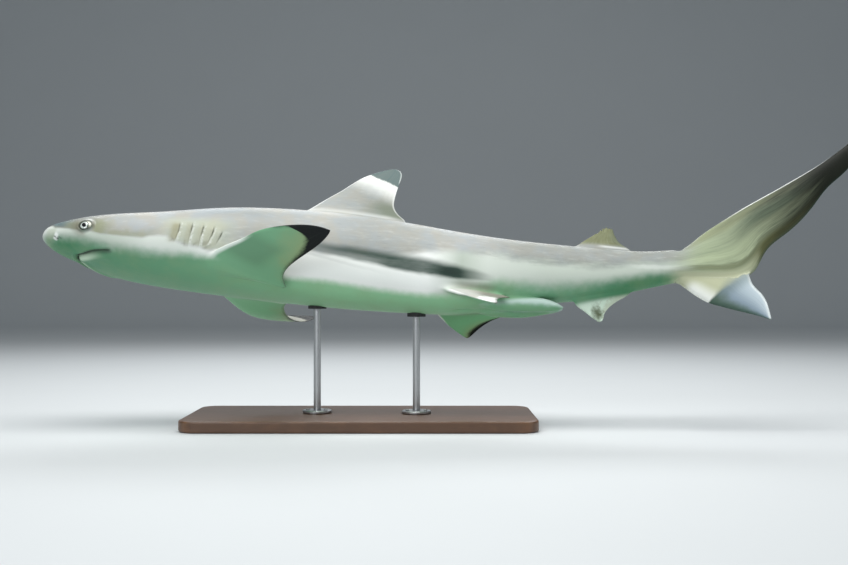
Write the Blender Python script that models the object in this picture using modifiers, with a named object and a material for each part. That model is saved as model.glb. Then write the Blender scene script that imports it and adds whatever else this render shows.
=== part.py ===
"""A life-size blacktip reef shark, banked on a two-rod display stand.

Every shark dimension is a percentage of the total length. The shark is first
modelled straight: the snout tip at the origin, +X towards the tail, -Y its left
side, +Z up. It is then bent into a gentle arc and set on the stand by an empty,
which carries its bank, pitch and yaw. The world origin is the middle of the
underside of the stand's base.
"""

import math

import bmesh
import bpy
import numpy as np
from mathutils import Euler, Matrix

# Driving dimensions, in metres and degrees.
TOTAL_LENGTH = 1.35
PERCENT = TOTAL_LENGTH / 100
GAP = 0.0003
HALF_GAP = GAP * 0.6 / PERCENT
BANK_DEG = 24.0
PITCH_DEG = 2.6
YAW_DEG = 0.0
BEND_DEG = 8.0
AXIS_HEIGHT = 0.262
BALANCE_AT = 38.0

# The trunk from the snout to the notch before the tail fin, in percent:
# distance from the snout, half width, half depth, height of the middle.
BODY_STATIONS = (
    (0.0, 0.0, 0.0, 0.33),
    (1.0, 2.0, 1.12, 0.43),
    (2.5, 3.0, 1.73, 0.38),
    (4.4, 3.75, 2.31, 0.36),
    (7.0, 4.35, 3.1, 0.24),
    (10.0, 4.8, 3.68, 0.18),
    (14.6, 5.25, 4.27, 0.26),
    (21.0, 5.5, 5.05, 0.56),
    (29.0, 5.35, 5.58, 0.55),
    (37.0, 5.0, 5.68, 0.2),
    (44.0, 4.55, 5.42, -0.3),
    (51.0, 3.95, 4.83, -0.76),
    (58.5, 3.1, 3.8, -0.6),
    (66.5, 2.35, 3.03, -0.55),
    (73.0, 1.65, 2.17, 0.0),
    (76.4, 1.42, 1.97, 0.48),
)
PRECAUDAL = 76.4

# The upper lobe of the tail fin, from the precaudal notch, in percent: share of
# the way to the tip, back and up of its top edge, back and up of its rear edge,
# half thickness.
TAIL_STATIONS = (
    (-0.16, -3.4, 2.17, -3.4, -2.17, 1.65),
    (0.0, 0.0, 2.45, 0.0, -1.49, 1.42),
    (0.1, 2.05, 4.1, 3.2, -1.6, 1.12),
    (0.22, 4.5, 5.9, 7.2, -1.35, 0.82),
    (0.36, 7.4, 7.8, 9.5, 1.8, 0.62),
    (0.52, 11.0, 9.9, 12.3, 4.4, 0.48),
    (0.68, 14.8, 12.15, 15.6, 7.85, 0.36),
    (0.78, 17.1, 13.6, 17.55, 10.35, 0.29),
    (0.86, 19.0, 15.0, 19.5, 12.1, 0.23),
    (0.95, 21.4, 16.9, 21.8, 15.1, 0.17),
    (1.0, 22.6, 17.85, 22.75, 17.1, 0.12),
)
TAIL_RINGS = (0.0, 0.06, 0.13, 0.22, 0.33, 0.45, 0.58, 0.7, 0.79, 0.87, 0.94, 1.0)
SECTION_POWER_TOP = 2.1
SECTION_POWER_BELLY = 2.5
RING_SIDE_POINTS = 15
FIN_EDGE_HALF = 0.0007

# Where the body is parted, in percent from the snout.
PARTED_AT = (("head", 0.0, 15.6, 12), ("gill_region", 15.6, 26.6, 7),
             ("trunk", 26.6, 46.5, 7), ("hind_trunk", 46.5, 63.0, 7),
             ("tail_stalk", 63.0, PRECAUDAL, 6))

# The mouth, in percent: how far back its middle and corners lie, its half width
# and the height of the slit.
MOUTH = {"front": 4.75, "corner": 8.8, "half_width": 3.5, "height": -1.65, "rear": 12.4}

EYE = {"along": 5.2, "rise_deg": 11.0, "radius": 0.92, "sunk": 0.66}

# Fins: outlines are (share of the height, front edge, rear edge), with the last
# two in percent behind the fin's origin.
FIRST_DORSAL = {
    "height": 8.85, "half_thickness": 0.52, "along": 31.2, "lean_deg": 12.0, "base": 9.5,
    "outline": ((-0.16, -1.9, 8.6), (0.0, -1.1, 11.6), (0.055, -0.6, 11.85), (0.12, 0.0, 11.3),
                (0.28, 1.35, 10.2), (0.45, 2.9, 10.05), (0.62, 4.3, 10.2), (0.76, 5.5, 10.4),
                (0.93, 7.75, 10.45), (1.0, 9.6, 9.6)),
}
SECOND_DORSAL = {
    "height": 3.4, "half_thickness": 0.28, "along": 63.2, "lean_deg": 8.0, "base": 4.4,
    "outline": ((-0.25, -0.8, 4.2), (0.0, 0.1, 7.2), (0.06, 0.4, 7.2), (0.3, 1.2, 6.1),
                (0.57, 2.3, 5.25), (0.85, 3.2, 4.85), (1.0, 4.2, 4.2)),
}
ANAL = {
    "height": 3.35, "half_thickness": 0.28, "along": 63.2, "lean_deg": 0.0, "base": 4.2,
    "outline": ((-0.25, -0.9, 4.2), (0.0, 0.0, 7.2), (0.06, 0.15, 6.9), (0.2, 0.35, 5.8),
                (0.45, 1.05, 4.3), (0.85, 2.2, 3.35), (1.0, 2.95, 2.95)),
}
LOWER_LOBE = {
    "height": 12.15, "half_thickness": 0.7, "origin": (76.6, 0.0, -1.35),
    "back": (0.725, 0.0, 0.69), "out": (0.69, 0.0, -0.725),
    "outline": ((-0.1, -1.0, 0.6), (0.0, -0.9, 2.2), (0.16, -0.75, 4.4), (0.3, -0.4, 5.3),
                (0.38, -0.1, 5.6), (0.45, 0.1, 5.1), (0.675, 0.75, 4.05), (0.86, 1.3, 2.95),
                (0.97, 1.55, 2.0), (1.0, 1.65, 1.65)),
    "curl_from": 3.6, "curl_radius": -4.5, "curl_deg": 30.0,
}
PECTORAL = {
    "height": 11.75, "half_thickness": 0.75, "origin": (20.1, 4.6, -2.1),
    "outline": ((-0.2, -0.6, 4.6), (0.0, 0.1, 6.8), (0.05, 0.35, 9.6), (0.1, 0.55, 9.8),
                (0.17, 0.95, 9.25), (0.3, 1.8, 9.0), (0.47, 3.0, 9.45), (0.63, 4.15, 10.25),
                (0.77, 5.8, 11.05), (0.9, 8.05, 11.65), (1.0, 11.8, 11.8)),
}
# The left pectoral is raised and the right one held lower, each with its tip turned up.
PECTORAL_POSE = {
    "left": {"back": (0.92, -0.22, -0.32), "out": (0.3, 0.9, 0.2),
             "curl_from": 4.0, "curl_radius": 16.0, "curl_deg": 29.0},
    "right": {"back": (0.92, -0.15, -0.15), "out": (0.05, 0.9, -0.1),
              "curl_from": 4.0, "curl_radius": 8.0, "curl_deg": 46.0,
              "outline": tuple((share, front - 1.8 * max(share, 0.0) ** 2, rear - 0.3 - 1.5 * share)
                               for share, front, rear in PECTORAL["outline"])},
}
PELVIC = {
    "height": 4.8, "half_thickness": 0.36, "origin": (46.6, 3.1, -4.0),
    "back": (0.97, -0.12, -0.06),
}
# The left pelvic fin is swept back and the right one spread.
PELVIC_POSE = {
    "left": {"out": (0.1, 0.85, -0.6),
             "outline": ((-0.3, 0.2, 5.6), (0.0, 0.7, 7.7), (0.09, 1.1, 9.3), (0.16, 1.5, 9.1),
                         (0.3, 2.3, 8.3), (0.55, 3.8, 7.7), (0.85, 5.8, 7.6), (1.0, 7.4, 7.4))},
    "right": {"out": (0.1, 0.85, -0.44),
              "outline": ((-0.3, -0.4, 5.4), (0.0, 0.0, 7.9), (0.09, 0.2, 9.4), (0.16, 0.35, 9.2),
                          (0.3, 0.8, 7.9), (0.55, 1.65, 6.15), (0.85, 3.0, 4.8), (1.0, 4.0, 4.0))},
}
# Claspers: points along the centre line, in percent, and the radius at each.
CLASPER = (((51.5, 1.1, -4.6), 0.7), ((54.5, 1.05, -4.95), 0.95), ((58.5, 1.0, -5.05), 0.88),
           ((60.8, 0.92, -5.25), 0.62), ((62.2, 0.88, -5.42), 0.18))

STAND = {
    "base_size": (0.56, 0.24, 0.018), "corner_radius": 0.03, "edge_round": 0.003,
    "rod_at": (32.6, 44.6), "rod_radius": 0.006, "flange_radius": 0.024, "flange_thick": 0.005,
    "pad_radius": 0.015, "pad_thick": 0.009, "screw_radius": 0.0032, "screw_ring": 0.017,
    "screw_head": 0.0022,
}


# ---------------------------------------------------------------- curves and sections


def natural_spline(knots, values):
    """A smooth function through the values, with no bend at either end."""
    x, y = np.array(knots, float), np.array(values, float)
    gaps, slopes = np.diff(x), np.diff(y) / np.diff(x)
    matrix = np.eye(len(x))
    right = np.zeros(len(x))
    for i in range(1, len(x) - 1):
        matrix[i, i - 1 : i + 2] = gaps[i - 1], 2 * (gaps[i - 1] + gaps[i]), gaps[i]
        right[i] = 6 * (slopes[i] - slopes[i - 1])
    bends = np.linalg.solve(matrix, right)

    def at(where):
        i = int(np.clip(np.searchsorted(x, where) - 1, 0, len(x) - 2))
        before, after, gap = where - x[i], x[i + 1] - where, gaps[i]
        return float(
            (bends[i] * after**3 + bends[i + 1] * before**3) / (6 * gap)
            + (y[i] / gap - bends[i] * gap / 6) * after
            + (y[i + 1] / gap - bends[i + 1] * gap / 6) * before
        )

    return at


def columns(stations, knot):
    """One spline for each column of a table of stations."""
    knots = [knot(row[0]) for row in stations]
    return [natural_spline(knots, column) for column in zip(*[row[1:] for row in stations])]


# Splines over the square root of the distance make the snout round.
body_width, body_depth, body_middle = columns(BODY_STATIONS, math.sqrt)
tail_columns = columns(TAIL_STATIONS, float)


def body_frame(along):
    """(half width, half depth, middle height) in percent at a distance from the snout."""
    root = math.sqrt(along)
    return body_width(root), body_depth(root), body_middle(root)


def smooth_step(value):
    value = min(1.0, max(0.0, value))
    return value * value * (3 - 2 * value)


def blade_profile(chord):
    """Half thickness of a fin, 0 to 1, over the share of the chord behind its front."""
    return 2.62 * math.sqrt(chord) * (1 - chord) ** 1.15


def edge_profile(chord):
    """Share of the least half thickness: whole along the chord, round at both edges."""
    return math.sqrt(max(0.0, 1 - abs(2 * chord - 1) ** 8))


def section_point(angle):
    """A point of the rounded body section, 1 high and 1 wide, from top (0) to belly (pi)."""
    power = 2 / (SECTION_POWER_TOP if angle <= math.pi / 2 else SECTION_POWER_BELLY)
    sine, cosine = max(0.0, math.sin(angle)), math.cos(angle)
    return sine**power, math.copysign(abs(cosine) ** power, cosine)


def closed_ring(side):
    """A ring from its left half, top to bottom, and the mirror of that half."""
    return side + [(x, -y, z) for x, y, z in reversed(side[1:-1])]


def ring_angles():
    return [math.pi * i / RING_SIDE_POINTS for i in range(RING_SIDE_POINTS + 1)]


def body_ring(along):
    width, depth, middle = body_frame(along)
    side = []
    for angle in ring_angles():
        across, up = section_point(angle)
        side.append((along, -width * across, middle + depth * up))
    return closed_ring(side)


def tail_ring(share):
    """A ring of the upper lobe, turning from the round stalk into a thin blade."""
    top_back, top_up, rear_back, rear_up, thick = (column(share) for column in tail_columns)
    blade = smooth_step(share / 0.3)
    side = []
    for angle in ring_angles():
        round_across, round_up = section_point(angle)
        chord = (1 - math.cos(angle)) / 2
        across = thick * ((1 - blade) * round_across + blade * blade_profile(chord))
        across += blade * FIN_EDGE_HALF / PERCENT * edge_profile(chord)
        down = (1 - ((1 - blade) * round_up + blade * math.cos(angle))) / 2
        side.append((PRECAUDAL + top_back + (rear_back - top_back) * down,
                     -across, top_up + (rear_up - top_up) * down))
    return closed_ring(side)


# ---------------------------------------------------------------- meshes and objects


def loft(name, rings):
    """A closed mesh through rings of equal length, given in percent. A first ring of one
    repeated point is the snout's tip."""
    bm = bmesh.new()
    rows = [[bm.verts.new([c * PERCENT for c in point]) for point in ring] for ring in rings]
    size = len(rows[0])
    for near, far in zip(rows, rows[1:]):
        for i in range(size):
            j = (i + 1) % size
            bm.faces.new((near[i], near[j], far[j], far[i]))
    bm.faces.new(rows[-1])
    bm.faces.new(reversed(rows[0]))
    bmesh.ops.remove_doubles(bm, verts=bm.verts, dist=1e-6)
    bmesh.ops.recalc_face_normals(bm, faces=bm.faces)
    bmesh.ops.triangulate(bm, faces=bm.faces)
    mesh = bpy.data.meshes.new(name)
    bm.to_mesh(mesh)
    bm.free()
    return mesh


def new_object(name, mesh, collection):
    made = bpy.data.objects.new(name, mesh)
    collection.objects.link(made)
    return made


def helper(obj):
    """Marks a cutter, which is no part of the model."""
    obj.hide_render = True
    obj.display_type = "WIRE"
    return obj


def grown(mesh, by):
    """A copy of the mesh with its surface moved out by a distance."""
    copy = mesh.copy()
    normals = [v.normal.copy() for v in copy.vertices]
    for vertex, normal in zip(copy.vertices, normals):
        vertex.co += normal * by
    return copy


def boolean(obj, cutter, operation):
    modifier = obj.modifiers.new(operation.lower(), "BOOLEAN")
    modifier.operation = operation
    modifier.solver = "EXACT"
    modifier.object = cutter


def bake_modifiers(obj):
    """Turns the evaluated shape into the object's own mesh."""
    bpy.context.view_layer.update()
    evaluated = obj.evaluated_get(bpy.context.evaluated_depsgraph_get())
    mesh = bpy.data.meshes.new_from_object(evaluated)
    obj.modifiers.clear()
    obj.data = mesh


def bend(mesh):
    """Curls the straight shark round an upright axis on its left, into an even arc."""
    middle = PRECAUDAL / 2 * PERCENT
    radius = middle / math.radians(BEND_DEG)
    for vertex in mesh.vertices:
        x, y, z = vertex.co
        angle = (x - middle) / radius
        vertex.co = (middle + (radius + y) * math.sin(angle), (radius + y) * math.cos(angle) - radius, z)
    mesh.update()


def shade(obj, smooth_deg=35):
    obj.data.shade_smooth()
    obj.data.set_sharp_from_angle(angle=math.radians(smooth_deg))


def material(name, colour, roughness, metallic=0.0):
    made = bpy.data.materials.new(name)
    made.use_nodes = True
    shader = made.node_tree.nodes["Principled BSDF"]
    shader.inputs["Base Color"].default_value = (*colour, 1)
    shader.inputs["Roughness"].default_value = roughness
    shader.inputs["Metallic"].default_value = metallic
    return made


# ---------------------------------------------------------------- the shark's pieces


def segment_rings(start, end, count):
    """Rings of a length of the body, half a gap short at each parted end."""
    near = start + HALF_GAP if start else 0.0
    roots = np.linspace(math.sqrt(near), math.sqrt(end - HALF_GAP), count)
    return [body_ring(root**2) for root in roots]


def tail_rings():
    """Rings of the upper lobe of the tail fin with the end of the stalk."""
    rings = [tail_ring(share) for share in TAIL_RINGS]
    rings[0] = [(x + HALF_GAP, y, z) for x, y, z in rings[0]]
    return rings


def whole_body(collection):
    """The body and upper lobe in one closed skin, grown by the gap, to cut the fins with."""
    rings = [ring for row in PARTED_AT for ring in segment_rings(*row[1:])] + tail_rings()
    mesh = grown(loft("body_cutter", rings), GAP * 1.3)
    return helper(new_object("body_cutter", mesh, collection))


def curled(out, off, fin):
    """Bends the distance out from the root, past a start, round an arc. A positive radius
    bends it the way the offset grows. Past the full curl it runs on straight."""
    start, radius = fin["curl_from"], fin["curl_radius"]
    past = max(0.0, out - start)
    angle = min(past / abs(radius), math.radians(fin["curl_deg"]))
    straight = past - angle * abs(radius)
    angle = math.copysign(angle, radius)
    return (min(out, start) + (radius - off) * math.sin(angle) + straight * math.cos(angle),
            radius - (radius - off) * math.cos(angle) + straight * math.sin(angle))


def fin_rings(fin, chord_points=8):
    """Rings of a fin in its own plane: (back, out, off the plane), in percent. They run
    from inside the body to the tip."""
    knots = [-math.sqrt(1 - row[0]) for row in fin["outline"]]
    front = natural_spline(knots, [row[1] for row in fin["outline"]])
    rear = natural_spline(knots, [row[2] for row in fin["outline"]])
    lowest = fin["outline"][0][0]
    edge = FIN_EDGE_HALF / PERCENT
    rings = []
    for share in (lowest, 0.0, 0.06, 0.14, 0.25, 0.38, 0.52, 0.66, 0.79, 0.89, 0.955, 0.99):
        knot = -math.sqrt(1 - share)
        start, length = front(knot), rear(knot) - front(knot)
        thick = fin["half_thickness"] * max(0.04, 1 - share) ** 0.75
        chords = [(1 - math.cos(math.pi * i / chord_points)) / 2 for i in range(chord_points + 1)]
        near = [(start + length * c, thick * blade_profile(c) + edge * edge_profile(c)) for c in chords]
        loop = near + [(back, -off) for back, off in reversed(near[1:-1])]
        ring = []
        for back, off in loop:
            out = share * fin["height"]
            if "curl_from" in fin:
                out, off = curled(out, off, fin)
            ring.append((back, out, off))
        rings.append(ring)
    return rings


def placed(rings, origin, back_axis, out_axis):
    """The fin's rings in the body's frame."""
    back = np.array(back_axis, float) / np.linalg.norm(back_axis)
    out = np.array(out_axis, float)
    out -= back * (out @ back)
    out /= np.linalg.norm(out)
    off = np.cross(back, out)
    frame = np.array([back, out, off])
    return [[tuple(np.array(origin) + np.array(point) @ frame) for point in ring] for ring in rings]


def midline_fin(name, fin, side, collection):
    """A fin on the back (side 1) or the belly (side -1), along the body's own slope."""
    along, base = fin["along"], fin["base"]

    def edge_height(at):
        _, depth, middle = body_frame(at)
        return middle + side * depth

    origin = (along, 0.0, edge_height(along))
    back_axis = (base, 0.0, edge_height(along + base) - edge_height(along))
    lean = math.radians(fin["lean_deg"])
    rings = placed(fin_rings(fin), origin, back_axis, (0, math.sin(lean), side * math.cos(lean)))
    return new_object(name, loft(name, rings), collection)


def angled_fin(name, fin, side, collection):
    """A fin on a plane of its own, given for the right side (1) and mirrored for the left."""
    rings = placed(fin_rings(fin), fin["origin"], fin["back"], fin["out"])
    rings = [[(x, side * y, z) for x, y, z in ring] for ring in rings]
    return new_object(name, loft(name, rings), collection)


def clasper(name, side, collection):
    """A clasper, a round rod that tapers to a blunt end."""
    rings = []
    for (along, across, height), radius in CLASPER:
        rings.append([(along, side * across + radius * math.sin(math.tau * i / 16),
                       height + radius * math.cos(math.tau * i / 16)) for i in range(16)])
    return new_object(name, loft(name, rings), collection)


def surface_point(along, drop_deg, side):
    """A point on the body's side, at an angle below the level through its middle."""
    width, depth, middle = body_frame(along)
    across, up = section_point(math.pi / 2 + math.radians(drop_deg))
    return np.array([along, side * width * across, middle + depth * up])


def eye_centre(side):
    """The eyeball's centre, sunk in from the skin."""
    skin = surface_point(EYE["along"], -EYE["rise_deg"], side)
    inward = np.array([0.12, -side, -0.12])
    return skin + inward / np.linalg.norm(inward) * EYE["sunk"]


def eyeball(name, side, collection, grow=0.0):
    bm = bmesh.new()
    bmesh.ops.create_uvsphere(bm, u_segments=18, v_segments=10, radius=EYE["radius"] * PERCENT + grow)
    lay_on_side = Matrix.Rotation(math.pi / 2, 4, "X")
    place = Matrix.Translation([c * PERCENT for c in eye_centre(side)])
    bmesh.ops.transform(bm, matrix=place @ lay_on_side, verts=bm.verts)
    bmesh.ops.triangulate(bm, faces=bm.faces)
    mesh = bpy.data.meshes.new(name)
    bm.to_mesh(mesh)
    bm.free()
    return new_object(name, mesh, collection)


def jaw_cutter(name, inset, collection):
    """The block under the mouth slit: a U seen from below, from the slit down past the
    throat. The inset shrinks it by a gap."""
    half, corner, front = MOUTH["half_width"], MOUTH["corner"], MOUTH["front"]
    outline = [(MOUTH["rear"] - inset, half - inset)]
    for i in range(13):
        turn = math.pi / 2 * i / 12
        outline.append((corner - (corner - front - inset) * math.sin(turn) ** 0.9,
                        (half - inset) * max(0.0, math.cos(turn)) ** 0.7))
    outline += [(x, -y) for x, y in reversed(outline[:-1])]
    top, bottom = MOUTH["height"] - inset, MOUTH["height"] - 8
    return new_object(name, loft(name, [[(x, y, z) for x, y in outline] for z in (bottom, top)]), collection)


def shark(parts, cutters):
    """All the shark's pieces, straight, each cut clear of its neighbours."""
    segments = [new_object(name, loft(name, segment_rings(*span)), parts) for name, *span in PARTED_AT]
    tail = new_object("caudal_fin_upper", loft("caudal_fin_upper", tail_rings()), parts)
    head = segments[0]
    body_cutter = whole_body(cutters)
    jaw = new_object("lower_jaw", head.data.copy(), parts)
    gap = GAP * 1.2 / PERCENT
    boolean(jaw, helper(jaw_cutter("jaw_block", gap, cutters)), "INTERSECT")
    boolean(head, helper(jaw_cutter("mouth_cut", 0.0, cutters)), "DIFFERENCE")
    eyes = []
    for label, side in (("left", -1), ("right", 1)):
        eyes.append(eyeball("eye_" + label, side, parts))
        boolean(head, helper(eyeball("socket_" + label, side, cutters, GAP * 1.6)), "DIFFERENCE")
    fins = [midline_fin("first_dorsal_fin", FIRST_DORSAL, 1, parts),
            midline_fin("second_dorsal_fin", SECOND_DORSAL, 1, parts),
            midline_fin("anal_fin", ANAL, -1, parts),
            angled_fin("caudal_fin_lower", LOWER_LOBE, 1, parts)]
    for label, side in (("left", -1), ("right", 1)):
        pectoral = {**PECTORAL, **PECTORAL_POSE[label]}
        fins.append(angled_fin("pectoral_fin_" + label, pectoral, side, parts))
        pelvic = angled_fin("pelvic_fin_" + label, {**PELVIC, **PELVIC_POSE[label]}, side, parts)
        rod = clasper("clasper_" + label, side, parts)
        keep_clear = helper(new_object("clasper_clear_" + label, grown(rod.data, GAP * 1.3), cutters))
        boolean(pelvic, keep_clear, "DIFFERENCE")
        fins += [pelvic, rod]
    for fin in fins:
        boolean(fin, body_cutter, "DIFFERENCE")
    pieces = segments + [tail, jaw] + fins + eyes
    for piece in pieces:
        bake_modifiers(piece)
        keep_largest(piece.data)
    return pieces, body_cutter


def keep_largest(mesh):
    """Drops the crumbs that a cut leaves beside the main piece."""
    bm = bmesh.new()
    bm.from_mesh(mesh)
    left, islands = set(bm.verts), []
    while left:
        grow, island = [left.pop()], []
        while grow:
            vertex = grow.pop()
            island.append(vertex)
            fresh = {edge.other_vert(vertex) for edge in vertex.link_edges} & left
            left -= fresh
            grow += fresh
        islands.append(island)
    islands.sort(key=len)
    crumbs = [vertex for island in islands[:-1] for vertex in island]
    bmesh.ops.delete(bm, geom=crumbs, context="VERTS")
    bm.to_mesh(mesh)
    bm.free()


# ---------------------------------------------------------------- pose and stand


def pose_empty(collection):
    """The empty that banks, pitches and yaws the bent shark and holds it at its height."""
    empty = bpy.data.objects.new("shark_pose", None)
    collection.objects.link(empty)
    turn = Euler((0, 0, math.radians(YAW_DEG))).to_matrix().to_4x4()
    turn @= Euler((0, math.radians(PITCH_DEG), 0)).to_matrix().to_4x4()
    turn @= Euler((-math.radians(BANK_DEG), 0, 0)).to_matrix().to_4x4()
    balance = Matrix.Translation((-BALANCE_AT * PERCENT, 0, 0))
    empty.matrix_world = Matrix.Translation((0, 0, AXIS_HEIGHT)) @ turn @ balance
    return empty


def belly_over(body_cutter, pose, x):
    """(y, z) of the lowest skin over a place on the base, from the posed body."""
    points = [pose.matrix_world @ v.co for v in body_cutter.data.vertices]
    near = [p for p in points if abs(p.x - x) < 0.03]
    lowest = min(near, key=lambda p: p.z)
    return lowest.y, lowest.z


def disc(name, radius, bottom, top, place, collection, segments=28, bevel=0.0):
    bm = bmesh.new()
    bmesh.ops.create_cone(bm, cap_ends=True, segments=segments, radius1=radius, radius2=radius,
                          depth=top - bottom)
    bmesh.ops.translate(bm, verts=bm.verts, vec=(0, 0, (top + bottom) / 2))
    mesh = bpy.data.meshes.new(name)
    bm.to_mesh(mesh)
    bm.free()
    made = new_object(name, mesh, collection)
    made.location = (*place, 0)
    if bevel:
        soften = made.modifiers.new("soft edge", "BEVEL")
        soften.width = bevel
        soften.segments = 1
        soften.limit_method = "ANGLE"
    return made


def stand_base(collection):
    """A flat plate with round corners and a softened rim."""
    length, width, thick = STAND["base_size"]
    radius = STAND["corner_radius"]
    bm = bmesh.new()
    outline = []
    for corner, (sx, sy) in enumerate(((1, 1), (-1, 1), (-1, -1), (1, -1))):
        for i in range(9):
            turn = math.pi / 2 * (corner + i / 8)
            outline.append(bm.verts.new((sx * (length / 2 - radius) + radius * math.cos(turn),
                                         sy * (width / 2 - radius) + radius * math.sin(turn), 0)))
    face = bm.faces.new(outline)
    top = bmesh.ops.extrude_face_region(bm, geom=[face])["geom"]
    bmesh.ops.translate(bm, verts=[g for g in top if isinstance(g, bmesh.types.BMVert)], vec=(0, 0, thick))
    bmesh.ops.recalc_face_normals(bm, faces=bm.faces)
    mesh = bpy.data.meshes.new("stand_base")
    bm.to_mesh(mesh)
    bm.free()
    base = new_object("stand_base", mesh, collection)
    soften = base.modifiers.new("soft rim", "BEVEL")
    soften.width = STAND["edge_round"]
    soften.segments = 2
    soften.limit_method = "ANGLE"
    return base


def stand(body_cutter, pose, parts):
    """The base, and for each rod its flange, three screws and a pad shaped to the belly."""
    pieces = {"wood": [stand_base(parts)], "steel": [], "rubber": []}
    base_top = STAND["base_size"][2]
    flange_top = base_top + GAP + STAND["flange_thick"]
    for label, along in zip(("front", "rear"), STAND["rod_at"]):
        x = (along - BALANCE_AT) * PERCENT
        y, belly = belly_over(body_cutter, pose, x)
        place = (x, y)
        pad_low = belly - STAND["pad_thick"] * 0.35
        pad = disc("stand_pad_" + label, STAND["pad_radius"], pad_low, belly + 0.012, place, parts)
        boolean(pad, body_cutter, "DIFFERENCE")
        pieces["rubber"].append(pad)
        rod_low = flange_top + GAP
        steel = pieces["steel"]
        steel.append(disc("stand_rod_" + label, STAND["rod_radius"], rod_low, pad_low - GAP,
                          place, parts, 24))
        steel.append(disc("stand_flange_" + label, STAND["flange_radius"], base_top + GAP, flange_top,
                          place, parts, 28, 0.0012))
        for i in range(3):
            turn = math.tau * (i / 3 + 0.25)
            at = (x + STAND["screw_ring"] * math.cos(turn), y + STAND["screw_ring"] * math.sin(turn))
            steel.append(disc(f"stand_screw_{label}_{i + 1}", STAND["screw_radius"], rod_low,
                              rod_low + STAND["screw_head"], at, parts, 12, 0.0007))
    return pieces


def main():
    for obj in list(bpy.data.objects):
        bpy.data.objects.remove(obj)
    parts = bpy.data.collections.new("blacktip_reef_shark")
    cutters = bpy.data.collections.new("cutters")
    for collection in (parts, cutters):
        bpy.context.scene.collection.children.link(collection)

    pieces, body_cutter = shark(parts, cutters)
    pose = pose_empty(parts)
    for obj in pieces + [body_cutter]:
        bend(obj.data)
        obj.parent = pose
    bpy.context.view_layer.update()
    stand_pieces = stand(body_cutter, pose, parts)

    skin = material("shark_skin", (0.52, 0.53, 0.5), 0.42)
    eye = material("eye", (0.05, 0.05, 0.05), 0.08)
    looks = {"wood": material("stand_wood", (0.2, 0.13, 0.08), 0.45),
             "steel": material("stand_steel", (0.6, 0.6, 0.61), 0.28, 1.0),
             "rubber": material("stand_rubber", (0.03, 0.03, 0.03), 0.8)}
    for piece in pieces:
        piece.data.materials.clear()
        piece.data.materials.append(eye if piece.name.startswith("eye") else skin)
        shade(piece)
    for kind, group in stand_pieces.items():
        for piece in group:
            piece.data.materials.append(looks[kind])
            shade(piece)


main()
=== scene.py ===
import math

import bmesh
import bpy
import numpy as np
from mathutils import Matrix


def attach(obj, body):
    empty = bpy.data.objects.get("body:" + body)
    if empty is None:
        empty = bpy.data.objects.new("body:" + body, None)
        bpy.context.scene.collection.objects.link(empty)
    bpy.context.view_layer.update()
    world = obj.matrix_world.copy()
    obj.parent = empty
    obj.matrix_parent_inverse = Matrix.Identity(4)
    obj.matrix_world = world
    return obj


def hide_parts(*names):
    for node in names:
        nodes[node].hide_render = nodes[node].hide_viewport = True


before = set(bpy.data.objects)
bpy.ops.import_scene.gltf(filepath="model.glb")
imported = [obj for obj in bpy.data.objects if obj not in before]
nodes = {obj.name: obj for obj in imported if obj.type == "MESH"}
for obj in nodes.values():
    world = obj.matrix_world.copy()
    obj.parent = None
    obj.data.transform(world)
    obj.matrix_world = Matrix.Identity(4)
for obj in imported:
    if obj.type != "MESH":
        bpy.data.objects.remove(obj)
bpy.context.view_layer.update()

# The shark is worked out straight, in hundredths of its length: along from the snout,
# across with the left side negative, and up. It is then bent, banked and set on its stand.
shark = {
    "length": 1.35, "bankDeg": 24.0, "pitchDeg": 2.6, "bendDeg": 8.0,
    "axisHeight": 0.262, "balanceAt": 38.0, "notchAt": 76.4, "edgeHalf": 0.0519,
}
percent = shark["length"] / 100

# Along, half width, half depth, height of the middle.
bodyStations = np.array([
    (0.0, 0.0, 0.0, 0.33), (1.0, 2.0, 1.12, 0.43), (2.5, 3.0, 1.73, 0.38), (4.4, 3.75, 2.31, 0.36),
    (7.0, 4.35, 3.1, 0.24), (10.0, 4.8, 3.68, 0.18), (14.6, 5.25, 4.27, 0.26), (21.0, 5.5, 5.05, 0.56),
    (29.0, 5.35, 5.58, 0.55), (37.0, 5.0, 5.68, 0.2), (44.0, 4.55, 5.42, -0.3), (51.0, 3.95, 4.83, -0.76),
    (58.5, 3.1, 3.8, -0.6), (66.5, 2.35, 3.03, -0.55), (73.0, 1.65, 2.17, 0.0), (76.4, 1.42, 1.97, 0.48)])

# Upper tail lobe: share of the way, back and up of its top edge, of its rear edge, half thickness.
tailStations = np.array([
    (-0.16, -3.4, 2.17, -3.4, -2.17, 1.65), (0.0, 0.0, 2.45, 0.0, -1.49, 1.42),
    (0.1, 2.05, 4.1, 3.2, -1.6, 1.12), (0.22, 4.5, 5.9, 7.2, -1.35, 0.82),
    (0.36, 7.4, 7.8, 9.5, 1.8, 0.62), (0.52, 11.0, 9.9, 12.3, 4.4, 0.48),
    (0.68, 14.8, 12.15, 15.6, 7.85, 0.36), (0.78, 17.1, 13.6, 17.55, 10.35, 0.29),
    (0.86, 19.0, 15.0, 19.5, 12.1, 0.23), (0.95, 21.4, 16.9, 21.8, 15.1, 0.17),
    (1.0, 22.6, 17.85, 22.75, 17.1, 0.12)])


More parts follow.
